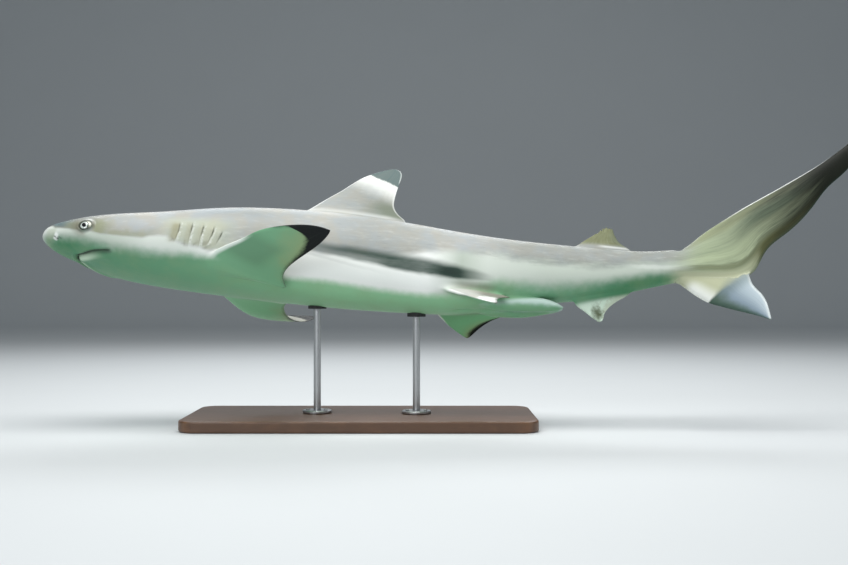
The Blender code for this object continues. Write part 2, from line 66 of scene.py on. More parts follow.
# Cubic pieces through the values, with no bend at either end.
def naturalSpline(knots, values):
    x, y = np.array(knots, float), np.array(values, float)
    gap, inner = np.diff(x), np.arange(1, len(x) - 1)
    system, right = np.eye(len(x)), np.zeros(len(x))
    system[inner, inner - 1], system[inner, inner + 1] = gap[:-1], gap[1:]
    system[inner, inner] = 2 * (gap[:-1] + gap[1:])
    right[1:-1] = 6 * np.diff(np.diff(y) / gap)
    bends = np.linalg.solve(system, right)

    def at(where):
        i = np.clip(np.searchsorted(x, where) - 1, 0, len(x) - 2)
        before, after, g = where - x[i], x[i + 1] - where, gap[i]
        return ((bends[i] * after**3 + bends[i + 1] * before**3) / (6 * g)
                + (y[i] / g - bends[i] * g / 6) * after + (y[i + 1] / g - bends[i + 1] * g / 6) * before)
    return at


bodyWidth, bodyDepth, bodyMiddle = (naturalSpline(np.sqrt(bodyStations[:, 0]), bodyStations[:, k])
                                    for k in (1, 2, 3))
tailSplines = [naturalSpline(tailStations[:, 0], tailStations[:, k]) for k in range(1, 6)]


# 3v^2 - 2v^3 of the share of the way from low to high.
def rise(value, low=0.0, high=1.0):
    v = np.clip((value - low) / (high - low), 0, 1)
    return v * v * (3 - 2 * v)


# A bell: e to the minus of the square of the distance over the width.
def bell(distance, width):
    return np.exp(-(distance / width) ** 2)


# Unit oval |x|^n + |y|^n = 1 at a polar angle from the top, with n 2.1 above and 2.5 below.
def roundSection(turn):
    across, up = np.sin(turn), np.cos(turn)
    n = np.where(up >= 0, 2.1, 2.5)
    radius = (np.abs(across) ** n + np.abs(up) ** n) ** (-1 / n)
    return radius * across, radius * up


# The body: the unit oval times half width and half depth, about the middle height.
def bodySurface(along, turn):
    root = np.sqrt(along)
    across, up = roundSection(turn)
    return np.stack([along, -bodyWidth(root) * across, bodyMiddle(root) + bodyDepth(root) * up], -1)


# A blade's half thickness along its chord c, as a share: 2.62 c^0.5 (1 - c)^1.15.
def bladeProfile(chord):
    return 2.62 * np.sqrt(chord) * (1 - chord) ** 1.15


# The thin edge that goes on top of it, rounded at both ends: the square root of 1 - |2c - 1|^8.
def edgeProfile(chord):
    return np.sqrt(np.clip(1 - np.abs(2 * chord - 1) ** 8, 0, 1))


# The upper tail lobe, between its top and rear edges: the round stalk's oval turning into a blade, thickness
# times the blade's profile, over the first 0.3 of the share.
def tailSurface(share, turn):
    topBack, topUp, rearBack, rearUp, thick = (spline(share) for spline in tailSplines)
    blade = rise(share, 0, 0.3)
    across, up = roundSection(turn)
    chord = (1 - np.cos(turn)) / 2
    side = np.where(np.sin(turn) >= 0, 1.0, -1.0)
    across = thick * ((1 - blade) * across + side * blade * bladeProfile(chord))
    across = across + side * blade * shark["edgeHalf"] * edgeProfile(chord)
    down = (1 - ((1 - blade) * up + blade * np.cos(turn))) / 2
    return np.stack([shark["notchAt"] + topBack + (rearBack - topBack) * down, -across,
                     topUp + (rearUp - topUp) * down], -1)


# Numbers from first to last whose spacing follows a table of (where, spacing).
def spaced(table):
    where, spacing = np.array(table, float).T
    fine = np.linspace(where[0], where[-1], 4000)
    count = np.concatenate([[0], np.cumsum(np.diff(fine) / np.interp(fine[1:], where, spacing))])
    return np.interp(np.linspace(0, count[-1], int(count[-1]) + 1), count, fine)


# Turns round a closed ring, and a turn brought to within half a turn of 0.
def turnsRound(count):
    return np.linspace(0, 2 * math.pi, count, endpoint=False)


def nearZero(turn):
    return (turn + math.pi) % (2 * math.pi) - math.pi


# Values on a grid of rings as one list, between those of a first and a last point: else the end rings' means.
def flatGrid(grid, first=None, last=None):
    first = grid[0].mean(0) if first is None else first
    last = grid[-1].mean(0) if last is None else last
    return np.concatenate([[first], grid.reshape(-1, grid.shape[-1]), [last]])


# A closed surface from a grid of rings and a point past its first and its last ring.
def closedGrid(grid, first=None, last=None):
    rows, columns = grid.shape[:2]
    points = flatGrid(grid, first, last)
    index = 1 + np.arange(rows * columns).reshape(rows, columns)
    following = np.roll(index, -1, axis=1)
    quads = np.stack([index[:-1], following[:-1], following[1:], index[1:]], -1).reshape(-1, 4)
    start = np.stack([np.zeros(columns, int), following[0], index[0]], -1)
    end = np.stack([np.full(columns, len(points) - 1), index[-1], following[-1]], -1)
    return points, quads.tolist() + start.tolist() + end.tolist()


def newObject(name, points, faces):
    mesh = bpy.data.meshes.new(name)
    mesh.from_pydata(np.asarray(points, float).tolist(), [], faces)
    bm = bmesh.new()
    bm.from_mesh(mesh)
    bmesh.ops.recalc_face_normals(bm, faces=bm.faces)
    bm.to_mesh(mesh)
    bm.free()
    made = bpy.data.objects.new(name, mesh)
    bpy.context.scene.collection.objects.link(made)
    return made


# Curls the straight shark into an arc, then banks and pitches it and lifts it to its height.
def posed(points):
    x, y, z = (np.asarray(points, float) * percent).T
    middle = shark["notchAt"] / 2 * percent
    radius = middle / math.radians(shark["bendDeg"])
    angle = (x - middle) / radius
    bent = np.stack([middle + (radius + y) * np.sin(angle), (radius + y) * np.cos(angle) - radius, z], -1)
    place = (Matrix.Translation((0, 0, shark["axisHeight"]))
             @ Matrix.Rotation(math.radians(shark["pitchDeg"]), 4, "Y")
             @ Matrix.Rotation(-math.radians(shark["bankDeg"]), 4, "X")
             @ Matrix.Translation((-shark["balanceAt"] * percent, 0, 0)))
    place = np.array(place)
    return bent @ place[:3, :3].T + place[:3, 3]


# Head and body details, in the same hundredths. Each "at" is a place on the left side: along, across, up.
eye = {
    "at": (5.37, -4.0, 0.6), "halfLength": 0.78, "halfHeight": 0.65, "tiltDeg": 12.0, "depth": 0.5,
    "ball": (1.0, 0.88, 0.72), "proud": 0.13, "irisAhead": 0.13, "irisUp": -0.03,
}
nostril = {
    "at": (1.96, -2.3, -0.62), "halfLength": 0.4, "halfHeight": 0.16, "tiltDeg": -26.0, "depth": 0.32,
    "flapAt": -0.02,
}
mouth = {
    "depth": 0.36, "width": 0.16,
    # along, degrees round from the top, from the middle of the jaw to the corner
    "line": ((4.3, 180), (4.35, 175), (4.5, 169.3), (4.9, 161.6), (5.52, 152.8), (6.33, 142.8),
             (7.3, 136.4), (8.27, 133), (8.95, 132)),
}
gills = {
    "depth": 0.3, "lip": 0.11, "width": 0.115,
    # the dark patch before each slit: strength, reach; then how light the ridge behind it is
    "dusk": ((0.6, 1.3), (0.34, 0.85), (0.2, 0.8), (0.14, 0.7), (0.12, 0.6)),
    "light": (1, 1, 1, 0.8, 0.2),
    # top, middle and bottom of each slit: along, up
    "slits": (((16.42, 1.4), (16.36, 0.15), (16.1, -1.0)), ((17.95, 1.45), (17.8, 0.05), (17.68, -1.4)),
              ((19.3, 1.3), (19.1, -0.05), (18.93, -1.5)), ((20.52, 1.08), (20.3, -0.1), (19.86, -1.35)),
              ((21.52, 0.5), (21.25, -0.35), (20.92, -1.2))),
    # creases over the root of the pectoral fin: along, up of their ends
    "folds": (((19.8, -2.14), (21.5, -1.42)), ((19.45, -1.9), (20.6, -1.22)), ((20.9, -2.0), (22.3, -1.2))),
}
vent = {"at": 50.3, "halfLength": 0.9, "halfWidth": 0.22, "depth": 0.5}
tailPits = {"upperAt": 76.0, "upperDepth": 0.36, "lowerAt": 76.1, "lowerDepth": 0.14}


def unit(vector):
    return np.array(vector, float) / np.linalg.norm(vector)


# Two directions in the skin and one out of it at a place on the left side.
def skinAxes(spot):
    along, across, height = spot["at"]
    root, tilt = math.sqrt(along), math.radians(spot["tiltDeg"])
    turn = math.atan2(-across / bodyWidth(root), (height - bodyMiddle(root)) / bodyDepth(root))
    here, behind, above = (bodySurface(np.array(a), np.array(t))
                           for a, t in ((along, turn), (along + 0.05, turn), (along, turn - 0.02)))
    back = unit(behind - here)
    out = unit(np.cross(back, unit(above - here)))
    up = unit(np.cross(out, back))
    return here, back * math.cos(tilt) + up * math.sin(tilt), up * math.cos(tilt) - back * math.sin(tilt), out


# Distances along the two directions of a patch of skin and out of it, with the right side mirrored.
def patchPlace(points, spot):
    here, back, up, out = skinAxes(spot)
    mirrored = points * (1, -1, 1)
    offset = np.where(points[..., 1:2] > 0, mirrored, points) - here
    return offset @ back, offset @ up, offset @ out


# An opening's elliptic radius, 1 on its rim: the root of (u / half length)^2 + (v / half height)^2,
# more for what lies over 1 under its plane.
def openingRadius(points, spot):
    u, v, w = patchPlace(points, spot)
    under = np.maximum(0, -w - 1) * 3
    return np.sqrt((u / spot["halfLength"]) ** 2 + (v / spot["halfHeight"]) ** 2 + under**2)


# Distance behind each gill slit, whose place is a parabola through its three points, and the share
# of the way down it.
def gillDistances(points):
    found = []
    for top, middle, bottom in gills["slits"]:
        alongs, heights = np.array((top, middle, bottom)).T
        curve = np.polyfit(heights, alongs, 2)
        level = np.clip(points[..., 2], bottom[1] - 0.3, top[1] + 0.3)
        down = (top[1] - points[..., 2]) / (top[1] - bottom[1])
        found.append((points[..., 0] - np.polyval(curve, level), down))
    return found


# Share of the way along a line on the side of the body, and the distance off it.
def offLine(points, start, end):
    along, up = points[..., 0] - start[0], points[..., 2] - start[1]
    run, climb = end[0] - start[0], end[1] - start[1]
    length = math.hypot(run, climb)
    return (along * run + up * climb) / length**2, (up * run - along * climb) / length


# Distance over the mouth line, above it positive, and the share of the way along it to the corner:
# the nearest point of a curve that lies on the skin.
def mouthPlace(points):
    alongs, turns = np.array(mouth["line"], float).T
    knots, fine = np.linspace(0, 1, len(alongs)), np.linspace(0, 1, 180)
    curve = bodySurface(naturalSpline(knots, alongs)(fine), np.radians(naturalSpline(knots, turns)(fine)))
    tangent = np.gradient(curve, axis=0)
    tangent /= np.linalg.norm(tangent, axis=1, keepdims=True)
    spacing = np.linalg.norm(curve[1] - curve[0])
    distance, share = np.full(points.shape[:-1], 9.0), np.ones(points.shape[:-1])
    head = (points[..., 0] > 2.5) & (points[..., 0] < 11.5)
    here = points[head] * 1.0
    here[:, 1] = -np.abs(here[:, 1])
    nearest = ((here[:, None] - curve[None]) ** 2).sum(-1).argmin(1)
    offset = here - curve[nearest]
    slide = np.clip((offset * tangent[nearest]).sum(-1, keepdims=True), -spacing, spacing)
    offset = offset - slide * tangent[nearest]
    outward = here - np.stack([here[:, 0], here[:, 0] * 0, bodyMiddle(np.sqrt(here[:, 0]))], -1)
    over = (np.cross(outward, tangent[nearest]) * offset).sum(-1)
    distance[head] = np.where(over >= 0, 1, -1) * np.linalg.norm(offset, axis=-1)
    share[head] = fine[nearest]
    return distance, share


# Draws a distance towards zero inside a reach: reach (d / reach)^1.6.
def drawn(distance, reach, power=1.6):
    share = np.clip(np.abs(distance) / reach, 0, 1)
    return np.where(share < 1, np.sign(distance) * reach * share**power, distance)


# Half the difference between the points after and before each one, round a ring.
def aroundStep(values):
    return (np.roll(values, -1, 1) - np.roll(values, 1, 1)) / 2


# Slides the grid over the skin until its lines crowd where the distance is zero.
def crowd(along, turn, distance, target):
    points = bodySurface(along, turn)
    stepAlong = np.linalg.norm(np.gradient(points, axis=0), axis=-1)
    stepTurn = np.linalg.norm(aroundStep(points), axis=-1)
    slopeAlong = np.gradient(distance, axis=0) / stepAlong
    slopeTurn = aroundStep(distance) / stepTurn
    size = np.maximum(slopeAlong**2 + slopeTurn**2, 0.04)
    move = target - distance
    turned = np.abs(np.roll(turn, -1, 1) - np.roll(turn, 1, 1)) % (2 * math.pi) / 2
    perTurn = stepTurn / np.maximum(turned, 1e-6)
    perTurn = np.where(perTurn > 40, 4, perTurn)
    perTurn[:, 0], perTurn[:, -1] = perTurn[:, 1], perTurn[:, -2]
    return along + move * slopeAlong / size, turn + move * slopeTurn / size / perTurn


# How finely the skin is cut: (along, spacing) of its rings, and the points on half a ring, which lie closer
# together on the side of the head. Lines within reach of the eye, mouth and gill slits crowd towards them.
bodyCut = {
    "rings": ((0.02, 0.04), (0.6, 0.07), (1.5, 0.085), (9.3, 0.085), (10.6, 0.22), (15.2, 0.22),
              (15.9, 0.115), (21.9, 0.115), (24, 0.4), (30, 0.64), (48, 0.5), (53, 0.5), (60, 0.64),
              (70, 0.64), (74, 0.35), (76.2, 0.16)),
    "halfRing": 96, "closer": 1.9, "evenFrom": (21, 30), "reach": 0.42,
}


def bodyGrid():
    rows, reach = spaced(bodyCut["rings"]), bodyCut["reach"]
    fine = np.linspace(0, math.pi, 2000)
    degrees = np.degrees(fine)
    weight = 1 + bodyCut["closer"] * rise(degrees, 50, 64) * (1 - rise(degrees, 146, 160))
    count = np.concatenate([[0], np.cumsum((weight[1:] + weight[:-1]) / 2)])
    dense = np.interp(np.linspace(0, count[-1], bodyCut["halfRing"] + 1), count, fine)
    even = np.linspace(0, math.pi, bodyCut["halfRing"] + 1)
    mix = rise(rows, *bodyCut["evenFrom"])[:, None]
    half = dense * (1 - mix) + even * mix
    turn = np.concatenate([half, 2 * math.pi - half[:, -2:0:-1]], 1)
    along = np.repeat(rows[:, None], turn.shape[1], 1)

    size = math.sqrt(eye["halfLength"] * eye["halfHeight"])
    near = (openingRadius(bodySurface(along, turn), eye) - 1) * size
    along, turn = crowd(along, turn, near, drawn(near, reach))
    near, share = mouthPlace(bodySurface(along, turn))
    target = near + (1 - rise(share, 0.88, 0.99)) * (drawn(near, reach) - near)
    along, turn = crowd(along, turn, near, target)
    points = bodySurface(along, turn)
    for behind, down in gillDistances(points):
        here = rise(down, -0.12, 0.05) * (1 - rise(down, 0.95, 1.12)) * (np.abs(points[..., 1]) > 1)
        along = along + here * (drawn(behind, reach, 1.7) - behind)
    return along, turn


# How far each point of the skin rises, and how deep in a slit or socket it lies, 0 to 1, that depth being
# painted as shade. Each feature adds bells of the distance from its line or rim.
def bodyDetail(along, turn, points):
    height, hollow, patch, ridge, ruffle = (np.zeros(along.shape) for _ in range(5))

    radius = openingRadius(points, eye)
    u, v = patchPlace(points, eye)[:2]
    inside = 1 - rise(radius, 0.86, 1.02)
    height -= eye["depth"] * inside
    height += 0.09 * bell(radius - 1.15, 0.16) * (1 - inside)            # the lid's fold
    height -= 0.055 * bell(radius - 1.55, 0.16) * rise(u - v, -0.6, 0.8)  # the crease below and behind
    height += 0.07 * bell(radius - 2.0, 0.5) * rise(v, -0.2, 0.8)         # brow
    height += 0.06 * bell(u - 0.98, 0.26) * bell(v + 0.05, 0.45) * (radius > 1)
    hollow = np.maximum(hollow, 0.6 * inside)

    radius = openingRadius(points, nostril)
    u, v = patchPlace(points, nostril)[:2]
    flap = bell(u - nostril["flapAt"], 0.17) * bell(v - 0.16, 0.36)
    inside = (1 - rise(radius, 0.75, 1.1)) * (1 - 0.95 * flap)
    height -= nostril["depth"] * inside
    rims = 0.03 * bell(v + 0.28, 0.14) * bell(u, 0.4), 0.04 * bell(v - 0.3, 0.16) * bell(u, 0.4)
    height += 0.055 * flap + rims[0] + rims[1]
    hollow = np.maximum(hollow, inside)

    over, share = mouthPlace(points)
    gape = 1 - rise(share, 0.82, 1.0)
    groove = bell(over, mouth["width"] * (1 + 0.5 * share))
    height -= mouth["depth"] * groove * (0.35 + 0.65 * gape) * (1 - 0.85 * rise(share, 0.9, 1))
    height += 0.12 * bell(over - 0.34, 0.26) * gape                       # upper lip
    height -= 0.15 * bell(over + 0.16, 0.16) * gape                       # under the groove
    height += 0.17 * bell(over + 0.8, 0.48) * gape                        # lower jaw
    height -= 0.1 * bell(over - 0.34, 0.1) * bell(share - 0.97, 0.05)     # the furrow at the corner
    depth = (0.45 + 0.55 * rise(share, 0.02, 0.16)) * (1 - 0.8 * rise(share, 0.35, 0.85))
    hollow = np.maximum(hollow, groove * depth)

    for (behind, down), (dusk, reach), light in zip(gillDistances(points), gills["dusk"], gills["light"]):
        ends = rise(down, -0.12, 0.2) * (1 - rise(down, 0.8, 1.2))
        patch = np.maximum(patch, dusk * ends * rise(behind, -reach, -reach / 3) * (1 - rise(behind, 0, 0.1)))
        ridge = np.maximum(ridge, light * ends * (1 - rise(np.abs(behind - 0.24), 0.03, 0.24)))
        foot = 1 - rise(np.abs(down - 0.9), 0.04, 0.18)
        ruffle = np.maximum(ruffle, light * foot * (1 - rise(np.abs(behind + 0.35), 0.2, 0.5)))
        here = rise(down, -0.04, 0.2) * (1 - 0.7 * rise(down, 0.3, 0.7)) * (1 - rise(down, 0.74, 1.04))
        step = rise(behind, -0.012, 0.03)
        cut = step * bell(behind, gills["width"])
        flap = (1 - step) * bell(behind, 0.4)
        height += here * (gills["lip"] * flap - gills["depth"] * cut)
        height += here * 0.07 * step * bell(behind - 0.55, 0.3)
        hollow = np.maximum(hollow, 0.75 * here * cut)
    for start, end in gills["folds"]:
        share, off = offLine(points, start, end)
        height -= 0.1 * bell(off, 0.1) * rise(share, 0, 0.25) * (1 - rise(share, 0.75, 1))
        height += 0.06 * bell(off - 0.22, 0.14) * rise(share, 0, 0.25) * (1 - rise(share, 0.75, 1))

    height -= tailPits["upperDepth"] * (bell(along - tailPits["upperAt"], 0.5) * bell(nearZero(turn), 0.62))
    height -= tailPits["lowerDepth"] * (bell(along - tailPits["lowerAt"], 0.4) * bell(turn - math.pi, 0.5))
    gap = bell(along - vent["at"], vent["halfLength"]) * bell(points[..., 1], vent["halfWidth"])
    gap = gap * (points[..., 2] < 0)
    height -= vent["depth"] * gap
    hollow = np.maximum(hollow, 0.6 * gap)
    return height, hollow, np.stack([patch, ridge, ruffle], -1)


# Unit normals of a grid of rings, outward.
def gridNormals(points):
    normal = np.cross(np.gradient(points, axis=0), aroundStep(points))
    normal /= np.maximum(np.linalg.norm(normal, axis=-1, keepdims=True), 1e-9)
    centre = points.mean(1, keepdims=True)
    outward = np.sign(np.sum(normal * (points - centre), -1).sum())
    return normal * outward


# What each mark says on skin that is far from its feature.
awayFrom = {"hollow": (0.0,), "tailPlace": (-0.5, 0.5, 0.0), "eyePlace": (20.0, 20.0, 20.0),
            "nostrilPlace": (20.0, 20.0, 20.0), "gillMark": (0.0, 0.0, 0.0), "mouthMark": (9.0, 1.0, 0.0)}


# The body and upper tail lobe as one grid of rings, the points that close it, and its marks.
def wholeBody():
    along, turn = bodyGrid()
    points = bodySurface(along, turn)
    height, hollow, gill = bodyDetail(along, turn, points)
    marks = {"gillMark": gill, "mouthMark": np.stack([*mouthPlace(points), along * 0], -1)}
    for name, spot in (("eyePlace", eye), ("nostrilPlace", nostril)):
        u, v = patchPlace(points, spot)[:2]
        marks[name] = np.clip(np.stack([u, v, openingRadius(points, spot)], -1), -20, 20)
    points = points + gridNormals(points) * height[..., None]
    tailShares = np.concatenate([np.linspace(0.012, 0.3, 20), np.linspace(0.32, 0.985, 30), [0.993, 1.0]])
    share, tailTurn = np.meshgrid(tailShares, turn[-1], indexing="ij")
    tail = tailSurface(share, tailTurn)
    last = tail[-1]
    centre, beyond = last.mean(0), np.array([0.5, 0, 0.36])
    closing = [centre + (last - centre) * k + beyond * h for k, h in ((0.9, 0.1), (0.7, 0.2), (0.4, 0.28))]
    grid = np.concatenate([points, tail, closing])
    snout = np.array([-0.004, 0, bodyMiddle(0.0)])
    extra = (len(grid) - len(points), turn.shape[1])
    for name in marks:
        marks[name] = np.concatenate([marks[name], np.tile(awayFrom[name], extra + (1,))])
    marks["hollow"] = np.concatenate([hollow, np.zeros(extra)])[..., None]
    shares = [np.minimum(0, (along - shark["notchAt"]) / 28), share, np.ones((len(closing), turn.shape[1]))]
    shares = np.concatenate(shares)
    chords = (1 - np.cos(np.tile(turn[-1], (len(grid), 1)))) / 2
    marks["tailPlace"] = np.stack([shares, chords, shares * 0], -1)
    return grid, snout, centre + beyond * 0.31, marks


# The fins, which become part of the same skin. An outline's rows are the share up the fin, then how far back
# its front edge and its rear edge are. A curl is where it starts, its radius and its degrees.
fins = {
    "firstDorsal": {
        "height": 8.85, "halfThickness": 0.52, "along": 31.2, "leanDeg": 12.0, "base": 9.5, "side": 1,
        "outline": ((-0.16, -1.9, 8.6), (0.0, -1.1, 11.6), (0.055, -0.6, 11.85), (0.12, 0.0, 11.3),
                    (0.28, 1.35, 10.2), (0.45, 2.9, 10.05), (0.62, 4.3, 10.2), (0.76, 5.5, 10.4),
                    (0.93, 7.75, 10.45), (1.0, 9.6, 9.6)),
        "flare": 0.4, "grid": (46, 44)},
    "secondDorsal": {
        "height": 3.4, "halfThickness": 0.28, "along": 63.2, "leanDeg": 8.0, "base": 4.4, "side": 1,
        "outline": ((-0.25, -0.8, 4.2), (0.0, 0.1, 7.2), (0.06, 0.4, 7.2), (0.3, 1.3, 6.1),
                    (0.57, 2.35, 5.3), (0.85, 3.2, 4.98), (0.96, 3.5, 4.9), (0.99, 3.66, 4.8),
                    (1.0, 4.2, 4.3)),
        "flare": 0.22, "grid": (48, 52), "frayed": 0.5},
    "anal": {
        "height": 3.35, "halfThickness": 0.28, "along": 63.2, "leanDeg": 0.0, "base": 4.2, "side": -1,
        "outline": ((-0.25, -0.9, 4.2), (0.0, 0.0, 7.2), (0.06, 0.15, 6.9), (0.2, 0.35, 5.8),
                    (0.45, 1.05, 4.3), (0.85, 2.2, 3.35), (1.0, 2.95, 2.95)),
        "flare": 0.22, "grid": (40, 44), "frayed": 0.16},
    "lowerLobe": {
        "height": 12.15, "halfThickness": 0.7, "origin": (76.6, 0.05, -1.35),
        "back": (0.725, 0.0, 0.69), "out": (0.69, 0.0, -0.725), "side": 1,
        "outline": ((-0.1, -1.0, 0.6), (0.0, -0.9, 2.2), (0.16, -0.75, 4.4), (0.3, -0.4, 5.3),
                    (0.38, -0.1, 5.6), (0.45, 0.1, 5.1), (0.675, 0.75, 4.05), (0.86, 1.3, 2.95),
                    (0.97, 1.55, 2.0), (1.0, 1.65, 1.65)),
        "curl": (3.9, -1.3, 30.0), "flare": 0.1, "grid": (52, 34)},
    "pectoralLeft": {
        "height": 11.75, "halfThickness": 0.75, "origin": (20.1, 4.6, -2.1),
        "back": (0.92, -0.22, -0.32), "out": (0.3, 0.9, 0.2), "side": -1, "curl": (4.0, 16.0, 29.0),
        "outline": ((-0.2, -0.6, 4.6), (0.0, 0.1, 6.8), (0.05, 0.35, 9.6), (0.1, 0.55, 9.8),
                    (0.17, 0.95, 9.25), (0.3, 1.8, 9.0), (0.47, 3.0, 9.45), (0.63, 4.15, 10.25),
                    (0.77, 5.8, 11.05), (0.9, 8.05, 11.65), (1.0, 11.8, 11.8)),
        "flare": 0.35, "grid": (48, 42)},
    "pelvicLeft": {
        "height": 4.8, "halfThickness": 0.36, "origin": (46.6, 3.1, -4.0),
        "back": (0.97, -0.12, -0.06), "out": (0.1, 0.85, -0.6), "side": -1,
        "outline": ((-0.3, 0.2, 5.6), (0.0, 0.7, 7.7), (0.09, 1.1, 9.3), (0.16, 1.5, 9.1),
                    (0.3, 2.3, 8.3), (0.55, 3.8, 7.7), (0.85, 5.8, 7.6), (1.0, 7.4, 7.4)),
        "flare": 0.25, "grid": (34, 34)},
}
fins["pectoralRight"] = {
    **fins["pectoralLeft"], "side": 1, "back": (0.92, -0.15, -0.15), "out": (0.05, 0.9, -0.1),
    "curl": (4.0, 8.0, 46.0),
    "outline": [(share, front - 1.8 * max(share, 0) ** 2, rear - 0.3 - 1.5 * share)
                for share, front, rear in fins["pectoralLeft"]["outline"]]}
fins["pelvicRight"] = {
    **fins["pelvicLeft"], "side": 1, "out": (0.1, 0.85, -0.44),
    "outline": ((-0.3, -0.4, 5.4), (0.0, 0.0, 7.9), (0.09, 0.2, 9.4), (0.16, 0.35, 9.2), (0.3, 0.8, 7.9),
                (0.55, 1.65, 6.15), (0.85, 3.0, 4.8), (1.0, 4.0, 4.0))}

# The line's rows: along, across, up, radius.
clasper = {"line": ((51.5, 1.1, -4.6, 0.7), (54.5, 1.05, -4.95, 0.95), (58.5, 1.0, -5.05, 0.88),
                    (60.8, 0.92, -5.25, 0.62), (62.2, 0.88, -5.42, 0.18)), "groove": 0.16, "grooveTurn": 5.4}


# The fin's own frame: where it starts, unit vectors back, out and off its plane, and its mirror.
def finFrame(fin):
    if "along" in fin:
        height = [bodyMiddle(math.sqrt(a)) + fin["side"] * bodyDepth(math.sqrt(a))
                  for a in (fin["along"], fin["along"] + fin["base"])]
        lean = math.radians(fin["leanDeg"])
        origin, back = (fin["along"], 0, height[0]), (fin["base"], 0, height[1] - height[0])
        out = (0, math.sin(lean), fin["side"] * math.cos(lean))
    else:
        origin, back, out = fin["origin"], fin["back"], fin["out"]
    back = unit(back)
    out = np.array(out, float)
    out = unit(out - back * (out @ back))
    mirror = (1, 1 if "along" in fin else fin["side"], 1)
    return np.array(origin, float), np.array([back, out, np.cross(back, out)]), mirror


def finEdges(fin, share):
    knots = [-math.sqrt(1 - row[0]) for row in fin["outline"]]
    where = -np.sqrt(np.clip(1 - share, 0, None))
    return [naturalSpline(knots, [row[k] for row in fin["outline"]])(where) for k in (1, 2)]


# Past its start the fin follows an arc: out = start + (r - off) sin a, off = r - (r - off) cos a.
def curled(out, off, curl):
    start, radius, degrees = curl
    past = np.maximum(0, out - start)
    angle = np.minimum(past / abs(radius), math.radians(degrees))
    straight = past - angle * abs(radius)
    angle = angle * math.copysign(1, radius)
    return (np.minimum(out, start) + (radius - off) * np.sin(angle) + straight * np.cos(angle),
            radius - (radius - off) * np.cos(angle) + straight * np.sin(angle))


# The same arc undone, from a point to its distance out and off before the curl.
def uncurled(out, off, curl):
    start, radius, degrees = curl
    sign = math.copysign(1, radius)
    angle = np.arctan2(out - start, (radius - off) * sign)
    limit = math.radians(degrees)
    inArc = (start + np.maximum(angle, 0) * abs(radius), radius - sign * np.hypot(out - start, radius - off))
    endOut, endOff = start + radius * math.sin(limit * sign), radius - radius * math.cos(limit * sign)
    du, dv = out - endOut, off - endOff
    past = (start + limit * abs(radius) + du * math.cos(limit) + dv * math.sin(limit) * sign,
            -du * math.sin(limit) * sign + dv * math.cos(limit))
    pick = [np.where(out <= start, a, np.where(angle <= limit, b, c))
            for a, b, c in zip((out, off), inArc, past)]
    return pick


# A fin, by the share up its height and a turn round its chord. Its half thickness is the blade's profile
# times (1 - share)^0.75, plus a flare into the body that falls as e to the minus of the height over 0.55.
def finSurface(fin, share, turn):
    front, rear = finEdges(fin, share)
    chord = (1 - np.cos(turn)) / 2
    side = np.where(np.sin(turn) >= 0, 1.0, -1.0)
    out = share * fin["height"]
    thick = fin["halfThickness"] * np.maximum(0.04, 1 - share) ** 0.75 * bladeProfile(chord)
    thick = thick + fin["flare"] * np.exp(-np.clip(out + 0.1, 0, None) / 0.55) * edgeProfile(chord)
    off = side * (thick + shark["edgeHalf"] * edgeProfile(chord))
    back = front + (rear - front) * chord
    if "frayed" in fin:
        teeth = np.abs((back * 2.6 + 0.3 * np.sin(back * 7)) % 1 - 0.5) * 2
        out = out - fin["frayed"] * teeth * rise(share, 0.6, 0.95)
    if "curl" in fin:
        out, off = curled(out, off, fin["curl"])
    origin, axes, mirror = finFrame(fin)
    return (origin + np.stack([back, out, off], -1) @ axes) * mirror


def finMesh(fin):
    rows, columns = fin["grid"]
    lowest = fin["outline"][0][0]
    share = 1 - (1 - np.linspace(0, 1, rows + 1)) ** 1.5 * (1 - lowest)
    grid = finSurface(fin, *np.meshgrid(share[:-1], turnsRound(2 * columns), indexing="ij"))
    return closedGrid(grid, last=finSurface(fin, np.array(0.99999), np.array(math.pi / 2)))


# A clasper: circles along a curve, with a groove pressed along its inner upper side.
def clasperMesh(side):
    line = np.array(clasper["line"])
    knots = np.linspace(0, 1, len(line))
    splines = [naturalSpline(knots, line[:, k]) for k in range(4)]
    step, turn = np.meshgrid(np.linspace(0, 0.995, 40), turnsRound(24), indexing="ij")
    x, y, z, radius = (spline(step) for spline in splines)
    radius = radius * np.sqrt(np.clip((1 - step) / 0.12, 0.02, 1)) ** 0.6
    if side > 0:
        y, z = y * (1 - 0.65 * rise(x, 57, 62)), z + 0.3 * rise(x, 57, 62)
    groove = bell(nearZero(turn - clasper["grooveTurn"]), 0.32) * clasper["groove"]
    radius = radius - groove * rise(step, 0.3, 0.5)
    grid = np.stack([x, side * (y + radius * np.sin(turn)), z + radius * np.cos(turn)], -1)
    return closedGrid(grid)


skinNodes = ["head", "lower_jaw", "gill_region", "trunk", "hind_trunk", "tail_stalk", "caudal_fin_upper",
             "caudal_fin_lower", "first_dorsal_fin", "second_dorsal_fin", "anal_fin", "pectoral_fin_left",
             "pectoral_fin_right", "pelvic_fin_left", "pelvic_fin_right", "clasper_left", "clasper_right"]


def joined(meshes):
    points, faces, kinds, start = [], [], [], 0
    for kind, (meshPoints, meshFaces) in meshes:
        points.append(meshPoints)
        faces += [[start + i for i in face] for face in meshFaces]
        kinds += [kind] * len(meshFaces)
        start += len(meshPoints)
    return np.concatenate(points), faces, kinds


def union(target, operand):
    modifier = target.modifiers.new("union", "BOOLEAN")
    modifier.operation, modifier.solver, modifier.object = "UNION", "EXACT", operand
    modifier.material_mode = "INDEX"
    bpy.context.view_layer.update()
    shape = bpy.data.meshes.new_from_object(target.evaluated_get(bpy.context.evaluated_depsgraph_get()))
    target.modifiers.clear()
    target.data = shape
    bpy.data.objects.remove(operand)


seam = {"reach": 0.85, "passes": 26, "pull": 0.55}


